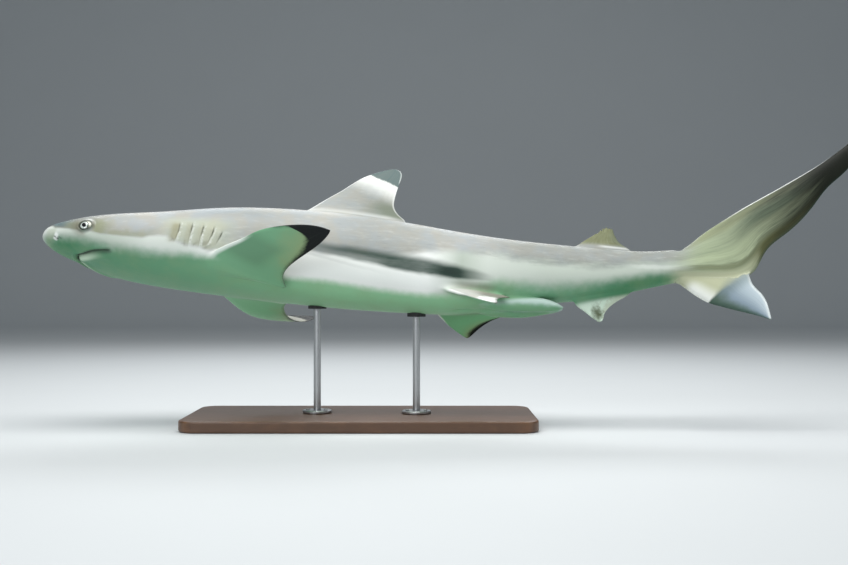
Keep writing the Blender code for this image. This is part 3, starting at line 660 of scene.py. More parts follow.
# One field of every item of a mesh, as an array.
def readAll(items, field, width=1, kind=np.int32):
    values = np.zeros(len(items) * width, kind)
    items.foreach_get(field, values)
    return values if width == 1 else values.reshape(-1, width)


# Moves points near the joins towards the mean of their neighbours, less the further off they are.
def softened(points, edges, seamPoints):
    centre = points[seamPoints]
    distance = np.concatenate([np.sqrt(((part[:, None] - centre[None]) ** 2).sum(-1).min(1))
                               for part in np.array_split(points, 120)])
    weight = seam["pull"] * (1 - rise(distance, 0.1, seam["reach"]))
    near = weight > 0
    edges = edges[near[edges].any(1)]
    count = np.maximum(np.bincount(edges.ravel(), minlength=len(points)), 1)[:, None]
    for _ in range(seam["passes"]):
        total = np.stack([np.bincount(edges[:, 0], points[edges[:, 1], k], len(points))
                          + np.bincount(edges[:, 1], points[edges[:, 0], k], len(points))
                          for k in range(3)], -1)
        points = points + (total / count - points) * np.where(near, weight, 0)[:, None]
    return points, distance


# Stores a mark on every point: one number or three.
def setAttribute(mesh, name, *values):
    values = np.asarray(values[0] if len(values) == 1 else np.stack(values, -1), np.float32)
    kind, field = ("FLOAT_VECTOR", "vector") if values[0].size == 3 else ("FLOAT", "value")
    attribute = mesh.attributes.get(name) or mesh.attributes.new(name, kind, "POINT")
    attribute.data.foreach_set(field, values.ravel())


def getAttribute(mesh, name, width):
    field = "value" if width == 1 else "vector"
    return readAll(mesh.attributes[name].data, field, width, np.float32).reshape(-1, width)


# One slot for each kind of piece, so that faces keep their kind through the unions.
def addFillers(made, filler):
    for _ in range(len(fins) + 2):
        made.data.materials.append(filler)


# The whole skin, still straight: the object, its points and edges, which piece each point belongs to, which
# points lie on a join, and how far each fin's point is from one.
def skinMesh():
    grid, snout, tailTip, marks = wholeBody()
    points, faces = closedGrid(grid, snout, tailTip)
    made = newObject("shark_skin", points, faces)
    for name, values in marks.items():
        setAttribute(made.data, name, flatGrid(values))
    finMeshes = [(1 + i, finMesh(fin)) for i, fin in enumerate(fins.values())]
    claspers = [(len(fins) + 1, clasperMesh(side)) for side in (-1, 1)]
    filler = bpy.data.materials.new("filler")
    addFillers(made, filler)
    for group in (finMeshes, claspers):
        points, faces, kinds = joined(group)
        operand = newObject("operand", points, faces)
        addFillers(operand, filler)
        operand.data.polygons.foreach_set("material_index", kinds)
        union(made, operand)
    mesh = made.data
    kind = np.repeat(readAll(mesh.polygons, "material_index"), readAll(mesh.polygons, "loop_total"))
    corner = readAll(mesh.loops, "vertex_index")
    points = readAll(mesh.vertices, "co", 3, float)
    edges = readAll(mesh.edges, "vertices", 2)
    lowest, highest = np.full(len(points), 99), np.zeros(len(points), int)
    np.minimum.at(lowest, corner, kind)
    np.maximum.at(highest, corner, kind)
    join = lowest < highest
    points, fromJoin = softened(points, edges, np.flatnonzero(join))
    return made, points, edges, highest, join, np.where(highest > 0, fromJoin, 0)


# Tables along the straight shark. First the heights of colour borders, each with how soft or deep it is:
# along, up. Then how far each tone is painted towards its shaded copy, which is painted shade for how light
# falls on the body: along, share.
borders = {
    "pale": ((-2, 1.3), (0.4, 1.1), (1.2, 0.95), (1.8, 0.5), (2.6, 0.34), (3.4, 0.22), (4.4, 0.02),
        (5.35, -0.2), (6.0, -0.25), (7.3, -0.5), (8.85, -0.65), (9.6, -0.7), (10.9, -0.82), (12.3, -0.82),
        (13.15, -0.55), (14.1, -0.43), (15.2, -0.49), (16.2, -1.04), (17.6, -1.41), (18.9, -1.56),
        (20.0, -1.82), (24, -1.6), (28, -1.1), (32, -1.1), (36, -1.4), (40, -1.2), (43, -0.8), (46, -0.25),
        (49, 0.1), (52.2, 0.25), (56.4, -0.1), (60.5, -0.45), (66.5, -0.5), (70, -0.2), (72.5, 0.05),
        (76, 0.15), (100, 5.0)),
    "paleSoft": ((0, 0.25), (3, 0.16), (8, 0.18), (11, 0.26), (16, 0.32), (21, 0.4), (30, 0.6), (48, 0.75),
        (56, 0.95), (76, 0.7)),
    "green": ((0, -0.1), (1.5, -0.45), (2.5, -0.55), (4.4, -0.9), (6.2, -1.3), (8.6, -1.85), (11, -2.05),
        (13.3, -2.3), (15.7, -2.4), (18, -2.35), (19.8, -2.5), (24, -2.9), (27, -3.6), (29, -4.0),
        (34, -4.15), (40, -4.7), (46, -5.0), (50, -4.7), (52.3, -3.9), (54.6, -3.15), (57, -3.2),
        (59.4, -3.35), (64, -2.95), (66.5, -2.6), (69, -2.1), (72.4, -1.4), (75.3, -1.1), (78, -1.0)),
    "greenSoft": ((0, 0.55), (9, 0.8), (13, 0.75), (20, 0.55), (30, 0.4), (46, 0.4), (52, 0.9), (64, 0.9),
        (76, 0.55)),
    "stripe": ((26, 0.1), (29, -0.1), (32, -0.37), (36.8, -1.0), (42.8, -1.68), (47.5, -2.25),
        (51.1, -2.65), (54, -2.9)),
    "stripeHalf": ((26, 0.4), (29, 0.5), (32, 0.6), (36.8, 0.78), (42.8, 0.95), (47.5, 0.92), (51.1, 0.6),
        (54, 0.3)),
    "stripeDark": ((28, 0), (30.5, 0.35), (36, 0.85), (41, 0.97), (43.5, 0.93), (45.5, 0.88), (47.5, 0.96),
        (49.6, 1.05), (51.6, 0.6), (54, 0)),
    "paleShade": ((0, 0.25), (1.6, 0.35), (3, 0.55), (5, 0.68), (8, 0.7), (10, 0.62), (13, 0.42),
        (17, 0.42), (20, 0.2), (24, 0), (33, 0), (36, 0.08), (41.5, 0.1), (45, 0), (46, 0), (47.5, 0.25),
        (50, 0.75), (53, 0.5), (60, 0.64), (76, 0.72)),
    "backShade": ((0, 0.8), (2, 0.9), (4, 0.7), (8, 0.25), (12, 0.05), (20, 0.15), (26, 0.25), (33, 0.1),
        (38, 0.35), (44, 0.3), (50, 0.08), (54, 0.3), (58, 0.54), (66, 0.55), (76, 0.65)),
    "greenShade": ((0, 1), (6, 1), (12, 0.85), (18, 0.7), (26, 0.32), (34, 0), (48, 0), (56, 0.5),
        (64, 0.85), (76, 0.95)),
}


def border(name, along):
    where, value = np.array(borders[name], float).T
    return np.interp(along, where, value)


# How far each point of a fin lies inside its dark tip, in hundredths of the length.
def tipRise(name, back, out, share, fromFront, fromRear):
    if name == "firstDorsal":
        return (out + 0.4 * back - 10.03) / 1.08
    if name.startswith("pectoral"):
        inner = np.interp(
            share, (0.12, 0.23, 0.34, 0.47, 0.575, 0.67, 0.75, 0.815, 0.84, 0.852, 0.862, 0.875),
            (0.03, 0.04, 0.08, 0.26, 0.42, 0.71, 1.1, 1.62, 2.0, 2.6, 4.0, 12))
        front = np.interp(share, (0.68, 0.77, 0.83, 0.86, 0.88), (-0.4, 0.06, 0.16, 0.55, 1.2))
        return np.maximum(inner - fromRear, front - fromFront)
    if name == "pelvicRight":
        return 0.75 * rise(share, 0.15, 0.5) * (1 - 0.75 * rise(share, 0.8, 1)) - fromRear
    if name == "pelvicLeft":
        return 0.12 * rise(share, 0.2, 0.5) - fromRear
    if name == "anal":
        return 0.55 - np.hypot((back - 2.75) * 1.3, (out - 2.2) * 0.75)
    if name == "lowerLobe":
        return 0.12 * rise(share, 0.4, 0.7) - fromRear
    return 0.1 * rise(share, 0.5, 0.9) - fromRear


# How dark each fin's tip is, and how much of the paired, rear and lower fins' colours each kind takes.
tipDark = {"firstDorsal": 0.72, "secondDorsal": 0.25, "anal": 0.0, "lowerLobe": 0.3,
           "pectoralLeft": 1.0, "pectoralRight": 1.0, "pelvicLeft": 0.95, "pelvicRight": 0.95}
washes = {"pectoral": (1, 0, 0), "pelvic": (0.5, 0, 0), "secondDorsal": (0, 1, 0), "anal": (0, 0.5, 0),
          "lowerLobe": (0, 0, 1)}
clasperWash = (0, 0, 0.5)


# Two marks for the fins: how far inside the dark tip, how dark it is and the distance from the rear edge;
# then the share up the fin, the share along its chord and which face, -1 to 1.
def finMarks(points, kinds):
    tips, places = np.tile((-9.0, 0.0, 0.0), (len(points), 1)), np.zeros((len(points), 3))
    for i, (name, fin) in enumerate(fins.items()):
        mine = kinds == i + 1
        origin, axes, mirror = finFrame(fin)
        back, out, off = ((points[mine] * mirror - origin) @ axes.T).T
        if "curl" in fin:
            out, off = uncurled(out, off, fin["curl"])
        share = np.clip(out / fin["height"], fin["outline"][0][0], 0.9999)
        front, rear = finEdges(fin, share)
        face = np.clip(off / 0.12, -1, 1)
        into = tipRise(name, back, out, share, back - front, rear - back)
        if name == "pectoralRight":
            into = into - 1.5 * rise(face, -0.5, 0.7)
        tips[mine] = np.stack([into, np.full(len(out), tipDark[name]), rear - back], -1)
        places[mine] = np.stack([share, (back - front) / np.maximum(rear - front, 0.2), face], -1)
    return tips, places


def makeSkin():
    made, points, edges, kinds, join, fromJoin = skinMesh()
    mesh = made.data
    # Points on a join take over the body's marks from a neighbour.
    onJoin, onBody = join[edges], kinds[edges] == 0
    atJoin = edges[(onJoin[:, 0] & onBody[:, 1]) | (onJoin[:, 1] & onBody[:, 0])]
    fromBody = np.where(join[atJoin[:, :1]], atJoin, atJoin[:, ::-1])
    for name, away in awayFrom.items():
        values = getAttribute(mesh, name, len(away))
        values[kinds > 0] = away
        values[fromBody[:, 0]] = values[fromBody[:, 1]]
        setAttribute(mesh, name, values)
    along, up = points.T[[0, 2]]
    lines = {name: border(name, along) for name in borders}
    setAttribute(mesh, "straightPlace", points)
    setAttribute(mesh, "bodyMark", (up - lines["pale"]) / lines["paleSoft"],
                 (up - lines["stripe"]) / lines["stripeHalf"], lines["stripeDark"] * (kinds == 0))
    setAttribute(mesh, "bellyMark", (up - lines["green"]) / lines["greenSoft"], lines["paleShade"],
                 lines["backShade"])
    over, share = getAttribute(mesh, "mouthMark", 3).T[:2]
    setAttribute(mesh, "mouthMark", over, share, lines["greenShade"])
    setAttribute(mesh, "fromJoin", fromJoin)
    tips, places = finMarks(points, kinds)
    setAttribute(mesh, "finTip", tips)
    setAttribute(mesh, "finPlace", places)
    wash = np.zeros((len(points), 3))
    wash[kinds > len(fins)] = clasperWash
    for i, name in enumerate(fins):
        for start, values in washes.items():
            if name.startswith(start):
                wash[kinds == i + 1] = values
    setAttribute(mesh, "finWash", wash)
    mesh.vertices.foreach_set("co", posed(points).ravel())
    bm = bmesh.new()
    bm.from_mesh(mesh)
    bmesh.ops.triangulate(bm, faces=[f for f in bm.faces if len(f.verts) > 4])
    for _ in range(3):
        crossed = [e for e in bm.edges if len(e.link_faces) > 2]     # where two slivers share a side
        bmesh.ops.collapse(bm, edges=crossed)
    bmesh.ops.delete(bm, geom=[e for e in bm.edges if not e.link_faces], context="EDGES")
    bm.to_mesh(mesh)
    bm.free()
    mesh.materials.clear()
    mesh.polygons.foreach_set("material_index", np.zeros(len(mesh.polygons), np.int32))
    mesh.shade_smooth()
    mesh.update()
    return made


# The eyeball, an ovoid: half lengths times sin a cos t, sin a sin t and cos a, for the angle a from its
# outward pole and t round it.
def eyeSurface(fromPole, turn, side):
    here, back, up, out = skinAxes(eye)
    a, b, c = eye["ball"]
    centre = here - out * (c - eye["proud"])
    u, v, w = a * np.sin(fromPole) * np.cos(turn), b * np.sin(fromPole) * np.sin(turn), c * np.cos(fromPole)
    points = centre + u[..., None] * back + v[..., None] * up + w[..., None] * out
    place = np.stack([u + eye["irisAhead"], v - eye["irisUp"], w], -1)
    return points * (1, -side, 1), place


def makeEye(name, side):
    fromPole = np.linspace(0.02, math.pi - 0.02, 60)
    grid, place = eyeSurface(*np.meshgrid(fromPole, turnsRound(96), indexing="ij"), side)
    points, faces = closedGrid(grid)
    made = newObject(name, points, faces)
    made.data.vertices.foreach_set("co", posed(points).ravel())
    setAttribute(made.data, "irisPlace", flatGrid(place))
    made.data.shade_smooth()
    made.data.update()
    return made


# What a Signal does for + and its like: adds the Math node of that operation.
def operator(operation):
    return lambda signal, other: signal.math(operation, signal, other)


# One socket of a material. Arithmetic on it, with a number or another socket, adds a Math node.
class Signal:
    def __init__(self, paint, socket):
        self.paint, self.socket = paint, socket

    def math(self, operation, *values):
        return self.paint.node("ShaderNodeMath", {"operation": operation}, dict(enumerate(values)))

    __add__, __sub__, __mul__ = operator("ADD"), operator("SUBTRACT"), operator("MULTIPLY")
    __truediv__, __pow__, most = operator("DIVIDE"), operator("POWER"), operator("MAXIMUM")
    __radd__, __rmul__ = __add__, __mul__

    def __rsub__(self, other):
        return self.math("SUBTRACT", other, self)

    def size(self):
        return self.math("ABSOLUTE", self)

    # From 0 at low to 1 at high, eased at both ends. With low above high it falls instead.
    def rise(self, low, high):
        if low > high:
            return 1 - self.rise(high, low)
        return self.paint.node("ShaderNodeMapRange", {"interpolation_type": "SMOOTHSTEP"},
                               {"Value": self, "From Min": low, "From Max": high})

    # 0 before start, 1 between full and still, 0 again past end.
    def band(self, start, full, still, end):
        return self.rise(start, full) * self.rise(end, still)

    # 1 within core of a value, falling to 0 at reach from it.
    def near(self, value, reach, core):
        return (self - value).size().rise(reach, core)


# A colour as seen on a screen, 0 to 255, made linear.
def tone(red, green, blue):
    return tuple(((c / 255 + 0.055) / 1.055) ** 2.4 for c in (red, green, blue))


# Several tones stand for light rather than the skin's own colour. The shaded tones, the green belly tones,
# the dark tone for creases and the tone for slits are painted shade. The far green and clasper tones are
# painted highlight, and the lip tone is the jaw's pale colour with a painted highlight. The blue, the lower
# lobe's light tone and the dorsal tip tone are painted glare and sky light.
skinTones = {
    "back": tone(176, 179, 175), "backWarm": tone(183, 177, 166), "backCool": tone(165, 173, 180),
    "backShaded": tone(122, 128, 122), "flankWarm": tone(194, 202, 170), "blue": tone(112, 130, 144),
    "pale": tone(245, 248, 244), "paleShaded": tone(150, 165, 148), "white": tone(236, 240, 236),
    "belly": tone(145, 199, 156), "bellyShaded": tone(84, 137, 105), "deepGreenShade": tone(54, 120, 80),
    "farGreenLit": tone(124, 188, 138), "under": tone(146, 162, 118), "stripe": tone(52, 72, 64),
    "dark": tone(6, 14, 18), "dusk": tone(84, 110, 118), "cheek": tone(136, 142, 108),
    "olive": tone(150, 145, 112), "ruffle": tone(112, 108, 92), "lip": tone(196, 216, 192),
    "hollow": tone(36, 44, 40), "cream": tone(182, 186, 156), "clasper": tone(178, 200, 192),
    "dorsalTipGlare": tone(52, 92, 98), "dorsalDusk": tone(104, 114, 96), "tan": tone(116, 118, 78),
    "tanPale": tone(138, 142, 104), "anal": tone(202, 221, 204), "analDark": tone(70, 78, 48),
    "paintedShade": tone(62, 84, 70), "lobeGlare": tone(170, 184, 192), "tail": tone(160, 172, 142),
    "tailLight": tone(190, 202, 166), "tailDark": tone(92, 112, 94), "tailOlive": tone(94, 95, 54),
    "tailTip": tone(6, 14, 6),
}


# A material being painted. A colour may be a socket, three numbers or the name of a skin tone.
class Paint:
    def __init__(self, name):
        self.material = bpy.data.materials.new(name)
        self.material.use_nodes = True
        self.nodes, self.links = self.material.node_tree.nodes, self.material.node_tree.links
        self.shader = self.nodes["Principled BSDF"]

    # Adds a node: its type, its settings, which are set first, and its sockets' values or links.
    def node(self, kind, settings=None, sockets=None, output=0):
        made = self.nodes.new(kind)
        for name, value in (settings or {}).items():
            setattr(made, name, value)
        self.feed(made, sockets or {})
        return Signal(self, made.outputs[output])

    def feed(self, node, sockets):
        for name, value in sockets.items():
            socket = node.inputs[name]
            if isinstance(value, str):
                value = skinTones[value]
            if isinstance(value, Signal):
                self.links.new(value.socket, socket)
            elif isinstance(value, tuple) and socket.type == "RGBA":
                socket.default_value = (*value, 1)
            else:
                socket.default_value = value

    def finish(self, **sockets):
        self.feed(self.shader, {name.replace("_", " "): value for name, value in sockets.items()})
        return self.material

    def attribute(self, name, output="Vector"):
        return self.node("ShaderNodeAttribute", {"attribute_name": name}, output=output)

    # The three numbers of a vector, or of the attribute of that name.
    def parts(self, vector):
        vector = self.attribute(vector) if isinstance(vector, str) else vector
        split = self.node("ShaderNodeSeparateXYZ", {}, {0: vector})
        return [Signal(self, split.socket.node.outputs[k]) for k in range(3)]

    def place(self, scale, vector=None):
        vector = vector or self.node("ShaderNodeTexCoord", output="Object")
        return self.node("ShaderNodeMapping", {}, {"Vector": vector, "Scale": scale})

    # Noise over a vector, or over the object's own coordinates stretched by three numbers.
    def noise(self, vector, scale, detail=3.0, roughness=0.55):
        vector = self.place(vector) if isinstance(vector, tuple) else vector
        return self.node("ShaderNodeTexNoise", {}, {"Vector": vector, "Scale": scale, "Detail": detail,
                                                    "Roughness": roughness})

    # A Mix node's sockets share names, so they go by number: 0 is the factor, 6 and 7 are colours.
    def mix(self, factor, first, second):
        return self.node("ShaderNodeMix", {"data_type": "RGBA", "clamp_factor": True},
                         {0: factor, 6: first, 7: second}, output=2)

    # Lays colours over a first one in turn: each with how much of it.
    def washed(self, colour, *washes):
        for second, factor in washes:
            colour = self.mix(factor, colour, second)
        return colour

    def bump(self, height, strength, distance):
        return self.node("ShaderNodeBump", {}, {"Height": height, "Strength": strength, "Distance": distance})


# Back and belly with a wavy border between them, in warm and cool clouds, each painted towards a shaded copy
# as painted shade, and the belly painted green as painted shade. Over them go painted shade on the snout,
# painted bluish light on the top of the back, the lips with a painted highlight and painted shadow, the
# gills' patches and ridges, painted shadow at the pelvic fins' root, the dark flank stripe with its darker
# end, and a cream patch before the lower tail lobe.
def bodyColour(paint, straight, noise):
    along, across, up = paint.parts(straight)
    paleRise, stripeRise, stripeDark = paint.parts("bodyMark")
    greenRise, paleShade, backShade = paint.parts("bellyMark")
    mouthOver, mouthShare, greenShade = paint.parts("mouthMark")
    gillPatch, gillRidge, gillRuffle = paint.parts("gillMark")
    cloudy, wavy, mottle, streaks, drift = noise.values()
    wave, wander = wavy - 0.5, drift - 0.5

    cheek = along.band(5.8, 6.8, 6.8, 9.4) * (up + wave * 1.2).rise(2.0, 0.7) * paleRise.rise(-0.5, 0.8)
    behindCheek = along.band(7, 8.5, 11.5, 15) * (paleRise + wave * 3).rise(4.5, 1.5)
    behindCheek = behindCheek * paleRise.rise(-0.5, 0.6)
    brown = along.band(2.4, 3.6, 4.9, 5.8) * up.rise(1.4, 0.7) * paleRise.rise(-0.3, 0.6)
    warm = along.band(13, 16.5, 20.5, 24.5) * up.rise(2.7, 1.4) * paleRise.rise(-0.5, 1.0)
    back = paint.washed(
        paint.mix(cloudy.rise(0.35, 0.65), "backCool", "backWarm"),
        ("back", 0.5),
        ("backShaded", backShade + (cloudy - 0.5) * 0.25),
        ("pale", streaks.rise(0.5, 0.8) * 0.16),
        ("stripe", streaks.rise(0.45, 0.25) * along.rise(26, 34) * 0.12),
        # Painted shade on the top of the snout.
        ("dusk", along.rise(4.6, 2.0) * paleRise.rise(0.0, 2.5) * 0.66),
        ("flankWarm", warm * 0.42),
        # Painted light: the top of the back over the gills is tinted bluish as if lit from above.
        ("blue", along.band(13, 16.5, 24, 29) * up.rise(2.4, 3.6) * 0.22),
        ("cheek", (cheek * 0.75).most(behindCheek * 0.5).most(brown * 0.45)))
    # Painted shade: the white underside is painted green, and a deeper green under the snout and the tail
    # stalk.
    green = paint.washed(
        paint.mix(greenShade, "belly", "bellyShaded"),
        ("deepGreenShade", along.rise(5.6, 3.4) * 0.6 + along.rise(64, 70) * 0.75),
        ("under", cloudy.rise(0.35, 0.75) * 0.2))
    pale = paint.mix(paleShade, "pale", "paleShaded")
    belly = paint.mix((greenRise + wave * 0.7).rise(1.0, -1.0), pale, green)
    border = paleRise + wander * 2.0 + (mottle - 0.5) * 0.12

    nearMouth = along.band(2.7, 3.2, 10.4, 11.2) * up.rise(0.2, -0.4)
    # Painted highlight on the lower jaw below the mouth line, over its pale colour, and painted shadow under
    # the upper lip towards the corner.
    lip = mouthOver.near(-0.45, 0.75, 0.05) * mouthShare.band(0.04, 0.25, 0.45, 0.85) * nearMouth
    shade = mouthOver.near(0.02, 0.5, 0.05) * mouthShare.band(0.3, 0.7, 0.87, 0.995) * nearMouth
    # Painted shadow on the body at the root of the pelvic fins.
    pelvicRootShade = along.band(48.2, 51, 53, 55) * up.band(-5.2, -4.5, -4.0, -3.2) * across.size().rise(1.6, 2.6)
    edge = stripeRise + wander * 0.7 + (streaks - 0.5) * 0.15
    stripe = edge.band(-1.3, -0.6, 0.3, 1.65) * stripeDark * (0.94 + streaks * 0.2)
    stripe = stripe * (1 - edge.rise(0.35, -0.35) * along.rise(44, 37) * 0.22)
    stripeEnd = edge.near(-0.1, 0.9, 0.2) * along.band(46.5, 48.3, 48.8, 51.4)
    line = (stripeRise + wave * 0.3).near(-1.75, 0.36, 0.05) * along.band(29, 31, 37, 43)
    streak = (paleRise + wave * 1.2).near(0, 1.0, 0.1) * along.band(49, 53, 68, 75) * streaks.rise(0.35, 0.6)
    light = (up + wave * 0.3).near(-0.5, 0.42, 0.1) * along.rise(69, 72) * up.rise(3, 2)
    colour = paint.washed(
        paint.mix(border.rise(-1.0, 1.0), belly, back),
        ("lip", lip * 0.85),
        ("paintedShade", shade * 0.75),
        ("under", along.near(1.3, 0.9, 0.3) * up.near(-0.1, 0.9, 0.3) * 0.35),
        ("olive", gillPatch * (0.6 + wavy * 0.8)),
        ("white", gillRidge * mottle.rise(0.3, 0.65) * 0.65),
        ("ruffle", gillRuffle * wavy.rise(0.42, 0.58) * 0.45),
        ("ruffle", pelvicRootShade * 0.55),
        ("stripe", stripe * 0.97),
        ("dark", stripeEnd * 0.42),
        ("stripe", line * 0.1),
        ("stripe", streak * 0.2),
        ("cream", (along + wave * 0.8).rise(74.4, 76.8) * up.rise(-0.5, -1.1)),
        ("pale", light * 0.25))
    return colour, back


# The upper tail lobe: olive streaks that run its length, a light band, a pale front edge and a dark tip.
def tailColour(paint, colour):
    tailPlace = paint.attribute("tailPlace")
    share, chord = paint.parts(tailPlace)[:2]
    streaks = paint.noise(paint.place((4.5, 9, 1), tailPlace), 1.0, 4, 0.6)
    fine = paint.noise(paint.place((6, 30, 1), tailPlace), 1.0, 3, 0.6)
    sway = streaks - 0.5
    across = chord + sway * 0.28
    blade = paint.washed(
        "tail",
        ("tan", chord.near(0.1, 0.16, 0.03) * 0.5),
        ("tailDark", across.near(0.34, 0.2, 0.04) * share.rise(0.2, 0.45) * 0.65),
        ("tailLight", across.near(0.6, 0.16, 0.03) * 0.68),
        ("tailOlive", across.near(0.77, 0.09, 0.01) * share.rise(0.45, 0.25) * 0.45),
        ("tailOlive", chord.rise(0.7, 0.88) * share.rise(0.2, 0.36) * 0.92),
        ("tailDark", fine.rise(0.45, 0.75) * 0.22),
        ("tailTip", (share + sway * 0.3 + (fine - 0.5) * 0.15).rise(-0.02, 0.8)),
        ("cream", chord.rise(0.78, 0.9) * (share + sway * 0.15).rise(0.36, 0.16)),
        ("stripe", chord.rise(0.93, 1.0) * share.rise(0.16, 0.24) * 0.5),
        ("white", chord.rise(0.045, 0.015) * share.band(0.2, 0.4, 0.7, 0.85) * 0.85))
    return paint.mix((share + chord * 0.06 + sway * 0.08).rise(-0.06, 0.13), colour, blade)


# Fins: the paired ones are like the back above and green below, the green being painted shade, painted
# lighter on the right-hand fins. The others have tones of their own, with a painted glint at the second
# dorsal's base, a painted highlight on the claspers' tops, and the lower lobe painted bluish-white as glare.
# The tips are dark, the first dorsal's painted grey-blue as glare. A fin's own tone fades in past its join
# with the body.
def finColours(paint, straight, noise, colour, back):
    finPlace = paint.attribute("finPlace")
    share, chord, face = paint.parts(finPlace)
    into, darkness, fromRear = paint.parts("finTip")
    pairedFin, rearFin, lobeFin = paint.parts("finWash")
    along, across, up = paint.parts(straight)
    offBody = paint.attribute("fromJoin", "Fac").rise(0.0, 0.9)
    rays = paint.noise(paint.place((1.6, 26, 1), finPlace), 1.0, 4, 0.65)
    cloudy, wavy, mottle = noise["cloudy"], noise["wavy"], noise["mottle"]
    wave, speck, ray = wavy - 0.5, mottle - 0.5, rays - 0.5

    isPelvic = pairedFin.rise(0.8, 0.6)
    pelvicShare = isPelvic * (share + (chord - 0.5) * 0.3 + wave * 0.2)
    # Painted shade and light on the paired fins' undersides: the belly's green painted shade, painted lighter
    # on the right-hand fins, and a painted shadow band across the middle of the left ones.
    below = paint.washed(
        paint.mix(0.5, "belly", "bellyShaded"),
        ("farGreenLit", across.rise(-0.5, 0.5)),
        ("under", (share * 0.6 + chord * 0.5 + (cloudy - 0.5) * 0.3).rise(0.47, 0.88) * 0.8),
        ("paintedShade", share.near(0.42, 0.28, 0.1) * across.rise(1.0, -1.0) * chord.rise(0.8, 0.5) * 0.3))
    above = paint.washed(
        back,
        ("olive", 0.25),
        ("ruffle", pelvicShare.band(0.1, 0.25, 0.45, 0.6) * chord.rise(0.25, 0.5) * 0.5),
        ("pale", pelvicShare.rise(0.5, 0.7).most(isPelvic * chord.rise(0.7, 0.4) * 0.3)))
    paired = paint.washed(
        paint.mix(face.rise(-0.6, 0.6), below, above),
        ("pale", chord.rise(0.07, 0.015) * share.rise(0.6, 0.4) * 0.75))

    secondDorsal = paint.washed(
        paint.mix((rays * 0.6 + wavy * 0.4).rise(0.35, 0.65), "tan", "tanPale"),
        ("stripe", 0.2 + chord.rise(0.6, 1.0) * 0.3))
    anal = paint.washed(
        "anal",
        ("olive", (chord - share * 0.35 + ray * 0.5 + speck * 0.6).rise(0.5, 0.75) * 0.35),
        ("analDark", (into + speck + wave * 0.8).rise(-0.7, 0.45) * 0.92))
    # The lower lobe past its cream front is a black tip painted bluish-white as painted glare from the light
    # above, with painted shade behind its crease and near its root.
    lobe = paint.washed(
        paint.mix((chord + ray * 0.3 + (share - 0.6) * 0.3).rise(0.2, 0.95), "blue", "lobeGlare"),
        ("white", fromRear.rise(0.5, 0.1) * 0.5),
        ("paintedShade", (chord + (share - 0.35) * 0.25 + wave * 0.15).rise(0.42, 0.08) * 0.9),
        ("paintedShade", (share - chord * 0.06).rise(0.5, 0.33) * 0.45),
        ("blue", rays.rise(0.5, 0.75) * chord.rise(0.3, 0.7) * 0.4))
    isSecond = rearFin.rise(0.7, 0.9) * offBody
    isAnal = rearFin.band(0.2, 0.4, 0.6, 0.8) * offBody
    isClasper = lobeFin.rise(0.2, 0.4) * along.rise(66, 65) * offBody
    isLobe = lobeFin.rise(0.0, 0.3) * along.rise(65, 66)
    pastLobeBorder = (share + wave * 0.03 - 0.325) / (0.009 + chord * 0.12)
    isDorsal = darkness.band(0.6, 0.7, 0.75, 0.8) * offBody
    hasBlackTip = darkness.rise(0.8, 0.9)
    tip = (into + speck * 0.3 + wave * 0.3 + ray * 0.5) / (0.12 + hasBlackTip * 0.3)
    # Fins without a black tip, the first dorsal above all, get a grey-blue tip: a black tip painted with
    # glare on it.
    dark = paint.mix(hasBlackTip, paint.mix(rays, "dorsalTipGlare", "backShaded"), "dark")
    return paint.washed(
        colour,
        (paired, pairedFin.rise(0.1, 0.4) * share.rise(0.0, 0.12) * offBody),
        (secondDorsal, isSecond * share.rise(0.06, 0.32) * 0.95),
        # Painted highlight: a glint along the second dorsal fin near its base.
        ("white", isSecond * share.near(0.1, 0.09, 0.02) * chord.rise(0.35, 0.55) * 0.8),
        (anal, isAnal * (share + chord * 0.25).rise(0.1, 0.4)),
        # Painted highlight on the upper side of the claspers.
        ("clasper", isClasper * (up + wave * 0.4).rise(-5.75, -5.1)),
        ("cream", isLobe * (along + wave * 0.8).rise(74.4, 76.8)),
        ("pale", isLobe * chord.rise(0.38, 0.05) * share.rise(0.02, 0.14) * 0.8),
        (lobe, isLobe * pastLobeBorder.rise(-1.0, 1.0)),
        ("backShaded", isDorsal * share.rise(0.04, 0.24) * 0.2),
        ("dorsalDusk", isDorsal * chord.rise(0.45, 0.9) * share.band(0.04, 0.12, 0.24, 0.5) * 0.85),
        ("white", isDorsal * share.near(0.07, 0.08, 0.0) * chord.rise(1.0, 0.8) * 0.35),
        ("white", isDorsal * chord.rise(0.05, 0.012) * share.rise(0.0, 0.06) * 0.7),
        ("pale", isDorsal * (into + wave * 0.6).rise(-3.4, -0.5) * 0.75),
        ("white", isDorsal * fromRear.rise(0.3, 0.1) * 0.45),
        (dark, tip.rise(-1.0, 1.0) * darkness.rise(0.0, 0.7)),
        ("white", isDorsal * fromRear.rise(0.22, 0.06) * share.rise(0.7, 0.8) * 0.5),
        ("tailDark", rays.rise(0.55, 0.8) * share.rise(0.05, 0.3) * 0.1))


